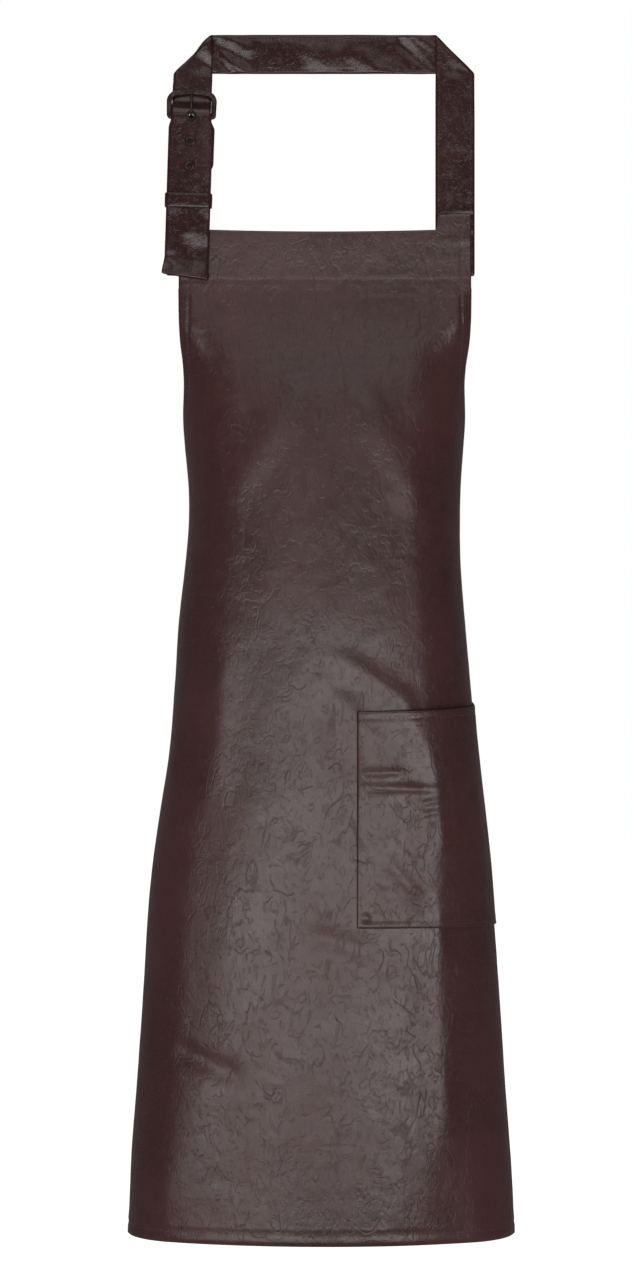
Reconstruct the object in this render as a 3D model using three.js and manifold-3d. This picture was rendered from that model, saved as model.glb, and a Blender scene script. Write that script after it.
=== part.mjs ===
// A bib apron of leather-look sheet, worn shape: the panel wraps round the sides of a body, a neck
// strap with a pin buckle carries it, and two waist ties close it with a bow behind.
// Millimetres, +Z up, +Y away from the front. The origin is the middle of the lower edge of the
// neck strap's horizontal run, where the apron hangs on a neck or a peg.

import * as THREE from "three";
import { mergeVertices } from "three/addons/utils/BufferGeometryUtils.js";
import Module from "manifold-3d";

const wasm = await Module();
wasm.setup();

// Driving dimensions.
const LAYER_GAP = 0.4;
const PANEL_THICKNESS = 1.6;
const FACING_THICKNESS = 1.2;
const STRAP_WIDTH = 34;
const STRAP_THICKNESS = 2.4;
const TIE_WIDTH = 25;
const TIE_THICKNESS = 2;

const BIB_TOP = -141;
const BIB_TOP_SAG = 3;
const BIB_HALF_WIDTH = 131;
const FACING_BOTTOM = -189;
const FACING_SIDE_MARGIN = 3;
const ARMHOLE_TOP = -205;
const WAIST = -430;
const HEM = -1048;
const HEM_RISE = 4;
const PANEL_HALF_WIDTH = 305;
const CORNER_RADIUS = 60;

const POCKET_TOP = -574;
const POCKET_HEIGHT = 192;
const POCKET_INNER_EDGE = 29;
const POCKET_WIDTH = 200;
const POCKET_TOP_RISE = 12;
const POCKET_ROOM = 8.5;

const RUN_DEPTH = -2.8;
const STRAP_TILT = THREE.MathUtils.degToRad(1.8);
const RIGHT_RUN_X = 117;
const LEFT_RUN_X = -118.8;
const SEWN_END = -182;

const HEEL_Z = -40.5;
const HEEL_DEPTH = -5.9;
const BAR_RADIUS = 1.5;
const BUCKLE_PITCH = 22;
const BUCKLE_INNER_WIDTH = 37.4;
const BUCKLE_SIDE_BAR = 3.8;
const TAIL_DEPTH = -11.8;
const TAIL_SPLIT = -141;
const TAIL_END = -186;
const HOLE_PITCH = 22.4;
const FIRST_HOLE = -40;
const HOLE_RADIUS = 3.3;
const PRONG_RADIUS = 1.1;

const KEEPER_TOP = -109;
const KEEPER_HEIGHT = 13.5;
const KEEPER_INNER_WIDTH = 38.4;
const KEEPER_WALL = 2.2;

const KNOT_Z = -442;
const BOW_LENGTH = 82;
const BOW_DEPTH = 22;
const BOW_DROOP = THREE.MathUtils.degToRad(24);
const TIE_TAIL_LENGTH = 330;
const TIE_TAIL_SPLAY = THREE.MathUtils.degToRad(7);

// The body that the panel wraps, as [height, value] stations joined by a smooth curve.
const LEFT_HALF_WIDTH = [
  [-141, 190], [-210, 172], [-262, 137], [-312, 128.5], [-400, 122.5], [-490, 131], [-600, 139.5],
  [-720, 156], [-850, 165], [-960, 174], [-1048, 178.5],
];
const RIGHT_HALF_WIDTH = [
  [-141, 190], [-210, 172], [-262, 135], [-312, 127], [-410, 122], [-490, 126], [-600, 136],
  [-720, 149], [-850, 158.5], [-960, 166.5], [-1048, 171.5],
];
const FRONT_RADIUS = [[-141, 2000], [-215, 1800], [-290, 700], [-350, 450], [-430, 400], [-1048, 400]];
const SIDE_RADIUS = [[-141, 400], [-300, 160], [-430, 130], [-600, 250], [-1048, 520]];
const FRONT_DEPTH = [[-141, -11.2], [-215, -12.6], [-320, -30], [-430, -40], [-600, -46], [-1048, -50]];

// A smooth value at one height, from stations listed from the top down.
function valueAt(stations, z) {
  const last = stations.length - 1;
  if (z >= stations[0][0]) return stations[0][1];
  if (z <= stations[last][0]) return stations[last][1];
  const next = stations.findIndex(([height]) => height < z);
  const [highZ, highValue] = stations[next - 1];
  const [lowZ, lowValue] = stations[next];
  const slope = (i) => {
    const a = stations[Math.max(i - 1, 0)];
    const b = stations[Math.min(i + 1, last)];
    return (b[1] - a[1]) / (b[0] - a[0]);
  };
  const span = lowZ - highZ;
  const t = (z - highZ) / span;
  const t2 = t * t;
  const t3 = t2 * t;
  return (2 * t3 - 3 * t2 + 1) * highValue + (t3 - 2 * t2 + t) * span * slope(next - 1)
    + (3 * t2 - 2 * t3) * lowValue + (t3 - t2) * span * slope(next);
}

// The place and outward direction at a flat distance s from the centre line, at height z. Each
// level section is a front arc, a tighter corner arc and a side arc, tangent to one another.
function wrap(s, z) {
  const side = s < 0 ? -1 : 1;
  const reach = Math.abs(s);
  const half = valueAt(side < 0 ? LEFT_HALF_WIDTH : RIGHT_HALF_WIDTH, z);
  const front = valueAt(FRONT_RADIUS, z);
  const sideRadius = valueAt(SIDE_RADIUS, z);
  const depth = valueAt(FRONT_DEPTH, z);
  const turn = Math.asin((half - CORNER_RADIUS) / (front - CORNER_RADIUS));
  const cornerStart = front * turn;
  const cornerEnd = cornerStart + CORNER_RADIUS * (Math.PI / 2 - turn);
  const cornerX = (front - CORNER_RADIUS) * Math.sin(turn);
  const cornerY = depth + front - (front - CORNER_RADIUS) * Math.cos(turn);
  let angle = reach / front;
  let x = front * Math.sin(angle);
  let y = depth + front * (1 - Math.cos(angle));
  if (reach > cornerEnd) {
    angle = Math.PI / 2 + (reach - cornerEnd) / sideRadius;
    x = half - sideRadius + sideRadius * Math.sin(angle);
    y = cornerY - sideRadius * Math.cos(angle);
  } else if (reach > cornerStart) {
    angle = turn + (reach - cornerStart) / CORNER_RADIUS;
    x = cornerX + CORNER_RADIUS * Math.sin(angle);
    y = cornerY - CORNER_RADIUS * Math.cos(angle);
  }
  return {
    point: new THREE.Vector3(side * x, y, z),
    normal: new THREE.Vector3(side * Math.sin(angle), -Math.cos(angle), 0),
  };
}

// A closed sheet of even thickness on surface(u, v), with u to the right and v downward.
function sheet(surface, columns, rows, thickness) {
  const positions = [];
  const faces = [];
  const across = columns + 1;
  const layer = across * (rows + 1);
  for (const offset of [thickness / 2, -thickness / 2]) {
    for (let j = 0; j <= rows; j += 1) {
      for (let i = 0; i <= columns; i += 1) {
        const { point, normal } = surface(i / columns, j / rows);
        positions.push(...point.clone().addScaledVector(normal, offset).toArray());
      }
    }
  }
  const quad = (a, b, c, d) => faces.push(a, b, c, a, c, d);
  for (let j = 0; j < rows; j += 1) {
    for (let i = 0; i < columns; i += 1) {
      const a = j * across + i;
      const d = a + across;
      quad(a, d, d + 1, a + 1);
      quad(layer + a, layer + a + 1, layer + d + 1, layer + d);
    }
  }
  const bottom = rows * across;
  for (let i = 0; i < columns; i += 1) {
    quad(i, i + 1, layer + i + 1, layer + i);
    quad(bottom + i, layer + bottom + i, layer + bottom + i + 1, bottom + i + 1);
  }
  for (let j = 0; j < rows; j += 1) {
    const left = j * across;
    const right = left + columns;
    quad(left, layer + left, layer + left + across, left + across);
    quad(right, right + across, layer + right + across, layer + right);
  }
  const geometry = new THREE.BufferGeometry();
  geometry.setAttribute("position", new THREE.Float32BufferAttribute(positions, 3));
  geometry.setIndex(faces);
  geometry.computeVertexNormals();
  return geometry;
}

function toSolid(geometry) {
  const bare = geometry.clone();
  bare.deleteAttribute("normal");
  bare.deleteAttribute("uv");
  const merged = mergeVertices(bare, 1e-4);
  return new wasm.Manifold(new wasm.Mesh({
    numProp: 3,
    vertProperties: merged.attributes.position.array,
    triVerts: new Uint32Array(merged.index.array),
  }));
}

function toGeometry(solid) {
  const mesh = solid.getMesh();
  const geometry = new THREE.BufferGeometry();
  geometry.setAttribute("position", new THREE.Float32BufferAttribute(mesh.vertProperties, 3));
  geometry.setIndex(Array.from(mesh.triVerts));
  geometry.computeVertexNormals();
  return geometry;
}

// Join and cut geometries that stand in one frame.
function combine(added, removed = []) {
  let solid = toSolid(added[0]);
  for (const geometry of added.slice(1)) solid = solid.add(toSolid(geometry));
  for (const geometry of removed) solid = solid.subtract(toSolid(geometry));
  return toGeometry(solid);
}

// An outline of (depth, height) points drawn across X, centred on x.
function acrossX(shape, width, x = 0) {
  const geometry = new THREE.ExtrudeGeometry(shape, {
    depth: width, bevelEnabled: false, curveSegments: 8,
  });
  // Shape x becomes depth Y, shape y becomes height Z, and the extrusion runs along X.
  const turn = new THREE.Matrix4().set(0, 0, 1, x - width / 2, 1, 0, 0, 0, 0, 1, 0, 0, 0, 0, 0, 1);
  geometry.applyMatrix4(turn);
  return geometry;
}

// An outline of (x, height) points given a thickness along Y, centred on depth y.
function facingFront(shape, thickness, y) {
  const geometry = new THREE.ExtrudeGeometry(shape, {
    depth: thickness, bevelEnabled: false, curveSegments: 6,
  });
  geometry.rotateX(Math.PI / 2);
  geometry.translate(0, y + thickness / 2, 0);
  return geometry;
}

// The outline of a strip of even thickness along a plane curve through the given points.
function stripShape(points, thickness, steps) {
  const curve = new THREE.CatmullRomCurve3(points.map(([a, b]) => new THREE.Vector3(a, b, 0)), false, "centripetal");
  const one = [];
  const other = [];
  for (let i = 0; i <= steps; i += 1) {
    const place = curve.getPoint(i / steps);
    const along = curve.getTangent(i / steps);
    one.push(new THREE.Vector2(place.x - along.y * thickness / 2, place.y + along.x * thickness / 2));
    other.push(new THREE.Vector2(place.x + along.y * thickness / 2, place.y - along.x * thickness / 2));
  }
  return new THREE.Shape([...one, ...other.reverse()]);
}

function polygon(points) {
  return new THREE.Shape(points.map(([a, b]) => new THREE.Vector2(a, b)));
}

function box(width, depth, height, x, y, z) {
  return new THREE.BoxGeometry(width, depth, height).translate(x, y, z);
}

// A cylinder along X.
function rod(radius, length, y, z) {
  return new THREE.CylinderGeometry(radius, radius, length, 20).rotateZ(Math.PI / 2).translate(0, y, z);
}

// A cylinder along Y, for holes through a strap.
function punch(radius, x, z) {
  return new THREE.CylinderGeometry(radius, radius, 60, 20).translate(x, 0, z);
}

// Materials.
const leather = () => new THREE.MeshStandardMaterial({ color: 0x3e2d2d, roughness: 0.42, metalness: 0 });
const lining = () => new THREE.MeshStandardMaterial({ color: 0x4a3a36, roughness: 0.85, metalness: 0 });
const brass = () => new THREE.MeshStandardMaterial({ color: 0x4d4334, roughness: 0.4, metalness: 0.9 });

const apron = new THREE.Group();

function addPart(name, geometry, material, parent = apron) {
  const mesh = new THREE.Mesh(geometry, material);
  mesh.name = name;
  parent.add(mesh);
  return mesh;
}

// The panel: bib, curved armholes and skirt cut in one piece. Its rows are shared out from the top
// down: the straight bib, the quarter-ellipse armhole, then the skirt.
const BIB_ROWS = 3;
const ARMHOLE_ROWS = 10;
const SKIRT_ROWS = 13;
const PANEL_ROWS = BIB_ROWS + ARMHOLE_ROWS + SKIRT_ROWS;

function panelSurface(u, v) {
  const row = v * PANEL_ROWS;
  const bib = Math.min(row / BIB_ROWS, 1);
  const swing = THREE.MathUtils.clamp((row - BIB_ROWS) / ARMHOLE_ROWS, 0, 1) * Math.PI / 2;
  const skirt = Math.max(row - BIB_ROWS - ARMHOLE_ROWS, 0) / SKIRT_ROWS;
  const halfWidth = BIB_HALF_WIDTH + (PANEL_HALF_WIDTH - BIB_HALF_WIDTH) * (1 - Math.cos(swing));
  const s = (2 * u - 1) * halfWidth;
  const top = BIB_TOP - BIB_TOP_SAG * (1 - (s / halfWidth) ** 2);
  const hem = HEM + HEM_RISE * (s / PANEL_HALF_WIDTH) ** 2;
  let z = THREE.MathUtils.lerp(top, ARMHOLE_TOP, bib);
  if (swing > 0) z = THREE.MathUtils.lerp(ARMHOLE_TOP, WAIST, Math.sin(swing));
  if (skirt > 0) z = THREE.MathUtils.lerp(WAIST, hem, skirt);
  return wrap(s, z);
}

function makeFrontPanel() {
  addPart("front_panel", sheet(panelSurface, 30, PANEL_ROWS, PANEL_THICKNESS), leather());
}

// The facing: a band sewn behind the top of the bib.
function makeFacing() {
  const offset = PANEL_THICKNESS / 2 + LAYER_GAP + FACING_THICKNESS / 2;
  const surface = (u, v) => {
    const halfWidth = BIB_HALF_WIDTH - FACING_SIDE_MARGIN;
    const s = (2 * u - 1) * halfWidth;
    const top = BIB_TOP - 1 - BIB_TOP_SAG * (1 - (s / halfWidth) ** 2);
    const { point, normal } = wrap(s, THREE.MathUtils.lerp(top, FACING_BOTTOM, v));
    return { point: point.addScaledVector(normal, -offset), normal };
  };
  addPart("bib_facing", sheet(surface, 16, 3, FACING_THICKNESS), lining());
}

// The hip pocket: a patch sewn on three sides, standing off the panel at its open mouth.
function makePocket() {
  const offset = PANEL_THICKNESS + LAYER_GAP;
  const surface = (u, v) => {
    const s = POCKET_INNER_EDGE + POCKET_WIDTH * u;
    const top = POCKET_TOP + POCKET_TOP_RISE * u * u;
    const z = THREE.MathUtils.lerp(top, POCKET_TOP - POCKET_HEIGHT, v);
    const { point, normal } = wrap(s, z);
    const room = POCKET_ROOM * Math.sin(Math.PI * u) ** 0.7 * (1 - v * v);
    return { point: point.addScaledVector(normal, offset + room), normal };
  };
  addPart("hip_pocket", sheet(surface, 16, 10, PANEL_THICKNESS), leather());
}

// The buckled side of the neck strap is a frame of its own, tilted a little outward.
const buckleSide = new THREE.Group();
buckleSide.position.set(LEFT_RUN_X, 0, 0);
buckleSide.rotation.y = STRAP_TILT;
apron.add(buckleSide);

const half = STRAP_WIDTH / 2;
const heelRing = BAR_RADIUS + LAYER_GAP;
const holeHeights = [0, 1, 2].map((i) => FIRST_HOLE - i * HOLE_PITCH);

// The neck strap: it is folded at both top corners, comes down on the left behind the buckle's
// upper bar and over its heel bar, and ends where its free tip begins.
function makeNeckStrap() {
  const left = LEFT_RUN_X;
  const right = RIGHT_RUN_X;
  const band = facingFront(polygon([
    [left - half, 0], [right + half, 0], [right - half, STRAP_WIDTH], [left + half, STRAP_WIDTH],
  ]), STRAP_THICKNESS, 0);
  const rightRun = facingFront(polygon([
    [right - half, SEWN_END], [right + half, SEWN_END], [right + half, 0], [right - half, STRAP_WIDTH],
  ]), STRAP_THICKNESS, RUN_DEPTH);
  // Each fold joins the two layers along the strap's diagonal.
  const foldDepth = STRAP_THICKNESS - RUN_DEPTH;
  const foldWidth = 2 * STRAP_THICKNESS;
  const rightFold = facingFront(polygon([
    [right + half - foldWidth, 0], [right + half, 0], [right - half, STRAP_WIDTH],
    [right - half, STRAP_WIDTH - foldWidth],
  ]), foldDepth, RUN_DEPTH / 2);
  const leftFold = facingFront(polygon([
    [left - half, 0], [left - half + foldWidth, 0], [left + half, STRAP_WIDTH - foldWidth],
    [left + half, STRAP_WIDTH],
  ]), foldDepth, RUN_DEPTH / 2);

  const route = [
    [RUN_DEPTH, 2], [RUN_DEPTH, -12], [RUN_DEPTH, -19], [-5.2, -25], [-10.6, -33],
    [TAIL_DEPTH, -38], [TAIL_DEPTH, -44], [TAIL_DEPTH, -90], [TAIL_DEPTH, TAIL_SPLIT],
  ];
  const leftRun = acrossX(stripShape(route, STRAP_THICKNESS, 40), STRAP_WIDTH);
  const upperLeft = facingFront(polygon([[-half, 0], [half, 0], [half, STRAP_WIDTH - 1]]), STRAP_THICKNESS, RUN_DEPTH);
  const punches = holeHeights.map((z) => punch(HOLE_RADIUS, 0, z));
  const place = new THREE.Matrix4().makeRotationY(STRAP_TILT).setPosition(left, 0, 0);
  for (const geometry of [leftRun, upperLeft, ...punches]) geometry.applyMatrix4(place);
  addPart("neck_strap", combine([band, rightRun, rightFold, leftFold, leftRun, upperLeft], punches), leather());
}

// The free tip of the strap, below the top of the bib, which can be lifted.
function makeStrapTip() {
  const slant = 4;
  const outline = polygon([
    [-half, TAIL_SPLIT - LAYER_GAP], [-half, TAIL_END + slant], [-half + 2, TAIL_END + slant - 2],
    [half - 2, TAIL_END], [half, TAIL_END + 2], [half, TAIL_SPLIT - LAYER_GAP],
  ]);
  addPart("strap_tip", facingFront(outline, STRAP_THICKNESS, TAIL_DEPTH), leather(), buckleSide);
}

// The buckle strap: sewn behind the bib's corner, it loops round the heel bar and is folded back.
function makeBuckleStrap() {
  const loopRadius = heelRing + STRAP_THICKNESS / 2;
  const frontDepth = HEEL_DEPTH - loopRadius;
  const ring = new THREE.Shape().absarc(HEEL_DEPTH, HEEL_Z, heelRing + STRAP_THICKNESS, 0, 2 * Math.PI, false);
  ring.holes.push(new THREE.Path().absarc(HEEL_DEPTH, HEEL_Z, heelRing, 0, 2 * Math.PI, true));
  const strip = stripShape([
    [frontDepth, HEEL_Z], [frontDepth, -60], [frontDepth, -122], [-7.6, -131], [RUN_DEPTH, -139.5],
    [RUN_DEPTH, -150], [RUN_DEPTH, SEWN_END],
  ], STRAP_THICKNESS, 30);
  const foldBack = stripShape([
    [HEEL_DEPTH + loopRadius, HEEL_Z], [HEEL_DEPTH + loopRadius - 0.6, HEEL_Z - 5],
    [frontDepth + STRAP_THICKNESS, HEEL_Z - 13], [frontDepth + STRAP_THICKNESS - 0.6, HEEL_Z - 24],
  ], STRAP_THICKNESS, 12);
  const slot = box(6, 14, 11, 0, HEEL_DEPTH, HEEL_Z + 0.5);
  const pieces = [ring, strip, foldBack].map((shape) => acrossX(shape, STRAP_WIDTH));
  addPart("buckle_strap", combine(pieces, [slot]), leather(), buckleSide);
}

// The buckle: a rounded frame with a round heel bar, and a prong that swings on that bar.
function roundedRectangle(width, height, radius, Type) {
  const outline = new Type();
  const x = width / 2 - radius;
  const y = height / 2 - radius;
  outline.absarc(x, y, radius, 0, Math.PI / 2, false);
  outline.absarc(-x, y, radius, Math.PI / 2, Math.PI, false);
  outline.absarc(-x, -y, radius, Math.PI, 1.5 * Math.PI, false);
  outline.absarc(x, -y, radius, 1.5 * Math.PI, 2 * Math.PI, false);
  outline.closePath();
  return outline;
}

function makeBuckle() {
  const barWidth = 2 * BAR_RADIUS;
  const outerWidth = BUCKLE_INNER_WIDTH + 2 * BUCKLE_SIDE_BAR;
  const outline = roundedRectangle(outerWidth, BUCKLE_PITCH + barWidth, 6, THREE.Shape);
  outline.holes.push(roundedRectangle(BUCKLE_INNER_WIDTH, BUCKLE_PITCH - barWidth, 2.5, THREE.Path));
  const ring = facingFront(outline, barWidth, HEEL_DEPTH).translate(0, 0, HEEL_Z + BUCKLE_PITCH / 2);
  const heelRoom = box(BUCKLE_INNER_WIDTH - 1, 10, barWidth + 2, 0, HEEL_DEPTH, HEEL_Z);
  const bar = rod(BAR_RADIUS, BUCKLE_INNER_WIDTH + 2, HEEL_DEPTH, HEEL_Z);
  const frame = toSolid(ring).subtract(toSolid(heelRoom)).add(toSolid(bar));
  addPart("buckle_frame", toGeometry(frame), brass(), buckleSide);

  const eyeInner = BAR_RADIUS + 0.35;
  const eyeOuter = eyeInner + 1.4;
  const eye = new THREE.Shape().absarc(HEEL_DEPTH, HEEL_Z, eyeOuter, 0, 2 * Math.PI, false);
  eye.holes.push(new THREE.Path().absarc(HEEL_DEPTH, HEEL_Z, eyeInner, 0, 2 * Math.PI, true));
  const route = new THREE.CatmullRomCurve3([
    [HEEL_DEPTH - 2.4, -40.3], [-11, -39.8], [-14.2, -39.2], [-15.9, -36.6], [-15.6, -32.5], [-12.2, -25], [-9.3, -18.5],
    [-8.9, -15.6],
  ].map(([y, z]) => new THREE.Vector3(0, y, z)), false, "centripetal");
  const wire = new THREE.Shape().absarc(0, 0, PRONG_RADIUS, 0, 2 * Math.PI, false);
  const tongue = new THREE.ExtrudeGeometry(wire, { steps: 18, extrudePath: route, curveSegments: 5 });
  addPart("buckle_prong", combine([acrossX(eye, 3), tongue]), brass(), buckleSide);
}

// The keeper: a leather loop round the buckle strap and the tail.
function makeKeeper() {
  const innerBack = HEEL_DEPTH - heelRing - STRAP_THICKNESS / 2 + STRAP_THICKNESS / 2 + LAYER_GAP;
  const innerFront = TAIL_DEPTH - STRAP_THICKNESS / 2 - LAYER_GAP;
  const depth = innerBack - innerFront;
  const middle = (innerBack + innerFront) / 2;
  const z = KEEPER_TOP - KEEPER_HEIGHT / 2;
  const outer = box(KEEPER_INNER_WIDTH + 2 * KEEPER_WALL, depth + 2 * KEEPER_WALL, KEEPER_HEIGHT, 0, middle, z);
  const inner = box(KEEPER_INNER_WIDTH, depth, KEEPER_HEIGHT + 2, 0, middle, z);
  addPart("keeper_loop", combine([outer], [inner]), leather(), buckleSide);
}

// An eyelet: a barrel through the strap with a flange on the front.
function makeEyelets() {
  const flangeFace = STRAP_THICKNESS / 2 + 0.9;
  const profile = [
    [2.4, -STRAP_THICKNESS / 2], [3, -STRAP_THICKNESS / 2], [3, STRAP_THICKNESS / 2 + 0.3],
    [5, STRAP_THICKNESS / 2 + 0.3], [4.7, flangeFace], [2.7, flangeFace], [2.4, flangeFace - 0.3],
    [2.4, -STRAP_THICKNESS / 2],
  ].map(([radius, height]) => new THREE.Vector2(radius, height));
  holeHeights.forEach((z, i) => {
    const eyelet = addPart(`eyelet_${i + 1}`, new THREE.LatheGeometry(profile, 20), brass(), buckleSide);
    eyelet.rotation.x = Math.PI;
    eyelet.position.set(0, TAIL_DEPTH, z);
  });
}

// The waist ties run from the panel's rear corners to a knot behind the wearer.
const TIE_SEWN_START = 276;
const TIE_SEWN_END = 303;
const TIE_LEAD = 30;
const KNOT_HALF_WIDTH = 10;
const knotDepth = wrap(PANEL_HALF_WIDTH, KNOT_Z).point.y + 8;

function makeWaistTie(word, side) {
  const lift = PANEL_THICKNESS / 2 + 3 * LAYER_GAP + TIE_THICKNESS / 2;
  const sewnShare = 0.4;
  const onPanel = (s, z) => {
    const { point, normal } = wrap(side * s, z);
    return { point: point.addScaledVector(normal, lift), normal };
  };
  const surface = (u, v) => {
    const along = side > 0 ? u : 1 - u;
    const z = KNOT_Z + TIE_WIDTH * (0.5 - v);
    if (along <= sewnShare) {
      return onPanel(THREE.MathUtils.lerp(TIE_SEWN_START, TIE_SEWN_END, along / sewnShare), z);
    }
    const { point: from, normal } = onPanel(TIE_SEWN_END, z);
    const ahead = new THREE.Vector3(-side * normal.y, side * normal.x, 0);
    const lead = from.clone().addScaledVector(ahead, TIE_LEAD);
    const knotSide = new THREE.Vector3(side * (KNOT_HALF_WIDTH + LAYER_GAP), knotDepth, z);
    const curve = new THREE.QuadraticBezierCurve3(from, lead, knotSide);
    const t = (along - sewnShare) / (1 - sewnShare);
    const tangent = curve.getTangent(t);
    return { point: curve.getPoint(t), normal: new THREE.Vector3(side * tangent.y, -side * tangent.x, 0) };
  };
  addPart(`${word}_waist_tie`, sheet(surface, 10, 2, TIE_THICKNESS), leather());
}

function makeTies() {
  for (const side of [-1, 1]) {
    const word = side < 0 ? "left" : "right";
    makeWaistTie(word, side);
    makeBowLoop(word, side);
    makeTieTail(word, side);
  }
  const knot = new THREE.SphereGeometry(1, 16, 10);
  knot.scale(KNOT_HALF_WIDTH, 11, 15);
  addPart("tie_knot", knot.translate(0, knotDepth + 7, KNOT_Z), leather());
}

// One loop of the bow: a closed band that droops outward from the knot.
function makeBowLoop(word, side) {
  const ring = new THREE.Shape().absellipse(0, 0, BOW_LENGTH / 2, BOW_DEPTH / 2, 0, 2 * Math.PI, false);
  const inside = new THREE.Path();
  inside.absellipse(0, 0, BOW_LENGTH / 2 - TIE_THICKNESS, BOW_DEPTH / 2 - TIE_THICKNESS, 0, 2 * Math.PI, true);
  ring.holes.push(inside);
  const loop = new THREE.ExtrudeGeometry(ring, { depth: TIE_WIDTH, bevelEnabled: false, curveSegments: 24 });
  loop.translate(side * (BOW_LENGTH / 2), 0, -TIE_WIDTH / 2);
  const mesh = addPart(`${word}_bow_loop`, loop, leather());
  mesh.rotation.y = side * BOW_DROOP;
  mesh.position.set(side * (KNOT_HALF_WIDTH + 1.2), knotDepth + 15.5, KNOT_Z - 2);
}

// One hanging tail of the tie, cut on a slant at its end.
function makeTieTail(word, side) {
  const width = TIE_WIDTH / 2;
  const outline = polygon([
    [-width, 0], [-width, -TIE_TAIL_LENGTH + (side < 0 ? 0 : 8)],
    [width, -TIE_TAIL_LENGTH + (side < 0 ? 8 : 0)], [width, 0],
  ]);
  const mesh = addPart(`${word}_tie_tail`, facingFront(outline, TIE_THICKNESS, 0), leather());
  mesh.rotation.y = -side * TIE_TAIL_SPLAY;
  mesh.position.set(side * 15, knotDepth, KNOT_Z - TIE_WIDTH / 2 - 5);
}

makeFrontPanel();
makeFacing();
makePocket();
makeNeckStrap();
makeStrapTip();
makeBuckleStrap();
makeBuckle();
makeKeeper();
makeEyelets();
makeTies();

export default apron;
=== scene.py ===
import math

import bpy
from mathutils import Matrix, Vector, noise


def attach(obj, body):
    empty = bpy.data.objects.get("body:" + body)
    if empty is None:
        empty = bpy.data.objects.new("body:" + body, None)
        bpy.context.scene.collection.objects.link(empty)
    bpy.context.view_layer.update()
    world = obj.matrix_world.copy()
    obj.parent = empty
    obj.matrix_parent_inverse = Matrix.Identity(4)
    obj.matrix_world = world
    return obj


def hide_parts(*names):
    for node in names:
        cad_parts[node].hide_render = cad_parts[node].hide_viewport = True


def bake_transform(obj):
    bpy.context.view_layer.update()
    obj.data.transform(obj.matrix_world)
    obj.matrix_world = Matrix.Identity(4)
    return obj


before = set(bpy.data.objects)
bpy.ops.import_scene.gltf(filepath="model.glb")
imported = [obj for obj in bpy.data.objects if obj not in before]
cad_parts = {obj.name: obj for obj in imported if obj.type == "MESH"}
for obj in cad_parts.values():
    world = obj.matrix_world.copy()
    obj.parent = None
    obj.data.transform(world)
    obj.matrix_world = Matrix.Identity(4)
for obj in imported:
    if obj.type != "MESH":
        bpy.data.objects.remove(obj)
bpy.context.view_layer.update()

MM = 0.001
APRON = "apron"

# ---- Sizes, in metres: the CAD model's, apart from the turned hem and the pocket's room ----
PANEL_THICKNESS = 1.6 * MM
HEM_THICKNESS = 3.0 * MM
HEM_WIDTH = 11 * MM
FACING_THICKNESS = 1.2 * MM
LAYER_GAP = 0.4 * MM
STRAP_WIDTH = 34 * MM
STRAP_THICKNESS = 2.4 * MM
TIE_WIDTH = 25 * MM
TIE_THICKNESS = 2.0 * MM

BIB_TOP = -141 * MM
BIB_TOP_SAG = 3 * MM
BIB_HALF_WIDTH = 131 * MM
FACING_BOTTOM = -189 * MM
ARMHOLE_TOP = -205 * MM
WAIST = -430 * MM
HEM = -1048 * MM
HEM_RISE = 4 * MM
PANEL_HALF_WIDTH = 305 * MM
CORNER_RADIUS = 60 * MM

POCKET_TOP = -574 * MM
POCKET_HEIGHT = 192 * MM
POCKET_INNER_EDGE = 29 * MM
POCKET_WIDTH = 200 * MM
POCKET_TOP_RISE = 12 * MM
POCKET_ROOM = 6 * MM

RUN_DEPTH = -2.8 * MM
STRAP_TILT = math.radians(1.8)
LEFT_RUN_X = -118.8 * MM
RIGHT_RUN_X = 117 * MM
SEWN_END = -182 * MM
TAIL_DEPTH = -11.8 * MM
HEEL_DEPTH = -5.9 * MM
KNOT_Z = -442 * MM

# The body that the panel wraps: [height, value] stations in millimetres, from the top down.
LEFT_HALF_WIDTH = [
    (-141, 190), (-210, 172), (-262, 137), (-312, 128.5), (-400, 122.5), (-490, 131), (-600, 139.5),
    (-720, 156), (-850, 165), (-960, 174), (-1048, 178.5),
]
RIGHT_HALF_WIDTH = [
    (-141, 190), (-210, 172), (-262, 135), (-312, 127), (-410, 122), (-490, 126), (-600, 136),
    (-720, 149), (-850, 158.5), (-960, 166.5), (-1048, 171.5),
]
FRONT_RADIUS = [(-141, 2000), (-215, 1800), (-290, 700), (-350, 450), (-430, 400), (-1048, 400)]
SIDE_RADIUS = [(-141, 400), (-300, 160), (-430, 130), (-600, 250), (-1048, 520)]
FRONT_DEPTH = [(-141, -11.2), (-215, -12.6), (-320, -30), (-430, -40), (-600, -46), (-1048, -50)]


def lerp(a, b, t):
    return a + (b - a) * t


def clamp(value, low=0.0, high=1.0):
    return min(max(value, low), high)


def smooth(value, low, high):
    """0 below low, 1 above high, and a smooth rise between them."""
    t = clamp((value - low) / (high - low))
    return t * t * (3 - 2 * t)


def bell(distance, width):
    """1 at distance 0, falling off smoothly on both sides."""
    return math.exp(-(distance / width) ** 2)


def rough(x, y, z):
    """Smooth random relief, between about -1 and 1."""
    return noise.noise(Vector((x, y, z)))


def in_metres(pairs):
    return [(first * MM, second * MM) for first, second in pairs]


def shares(count):
    """Even shares from 0 to 1, count steps apart."""
    return [k / count for k in range(count + 1)]


def length_of(path):
    return sum((b - a).length for a, b in zip(path, path[1:]))


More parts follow.
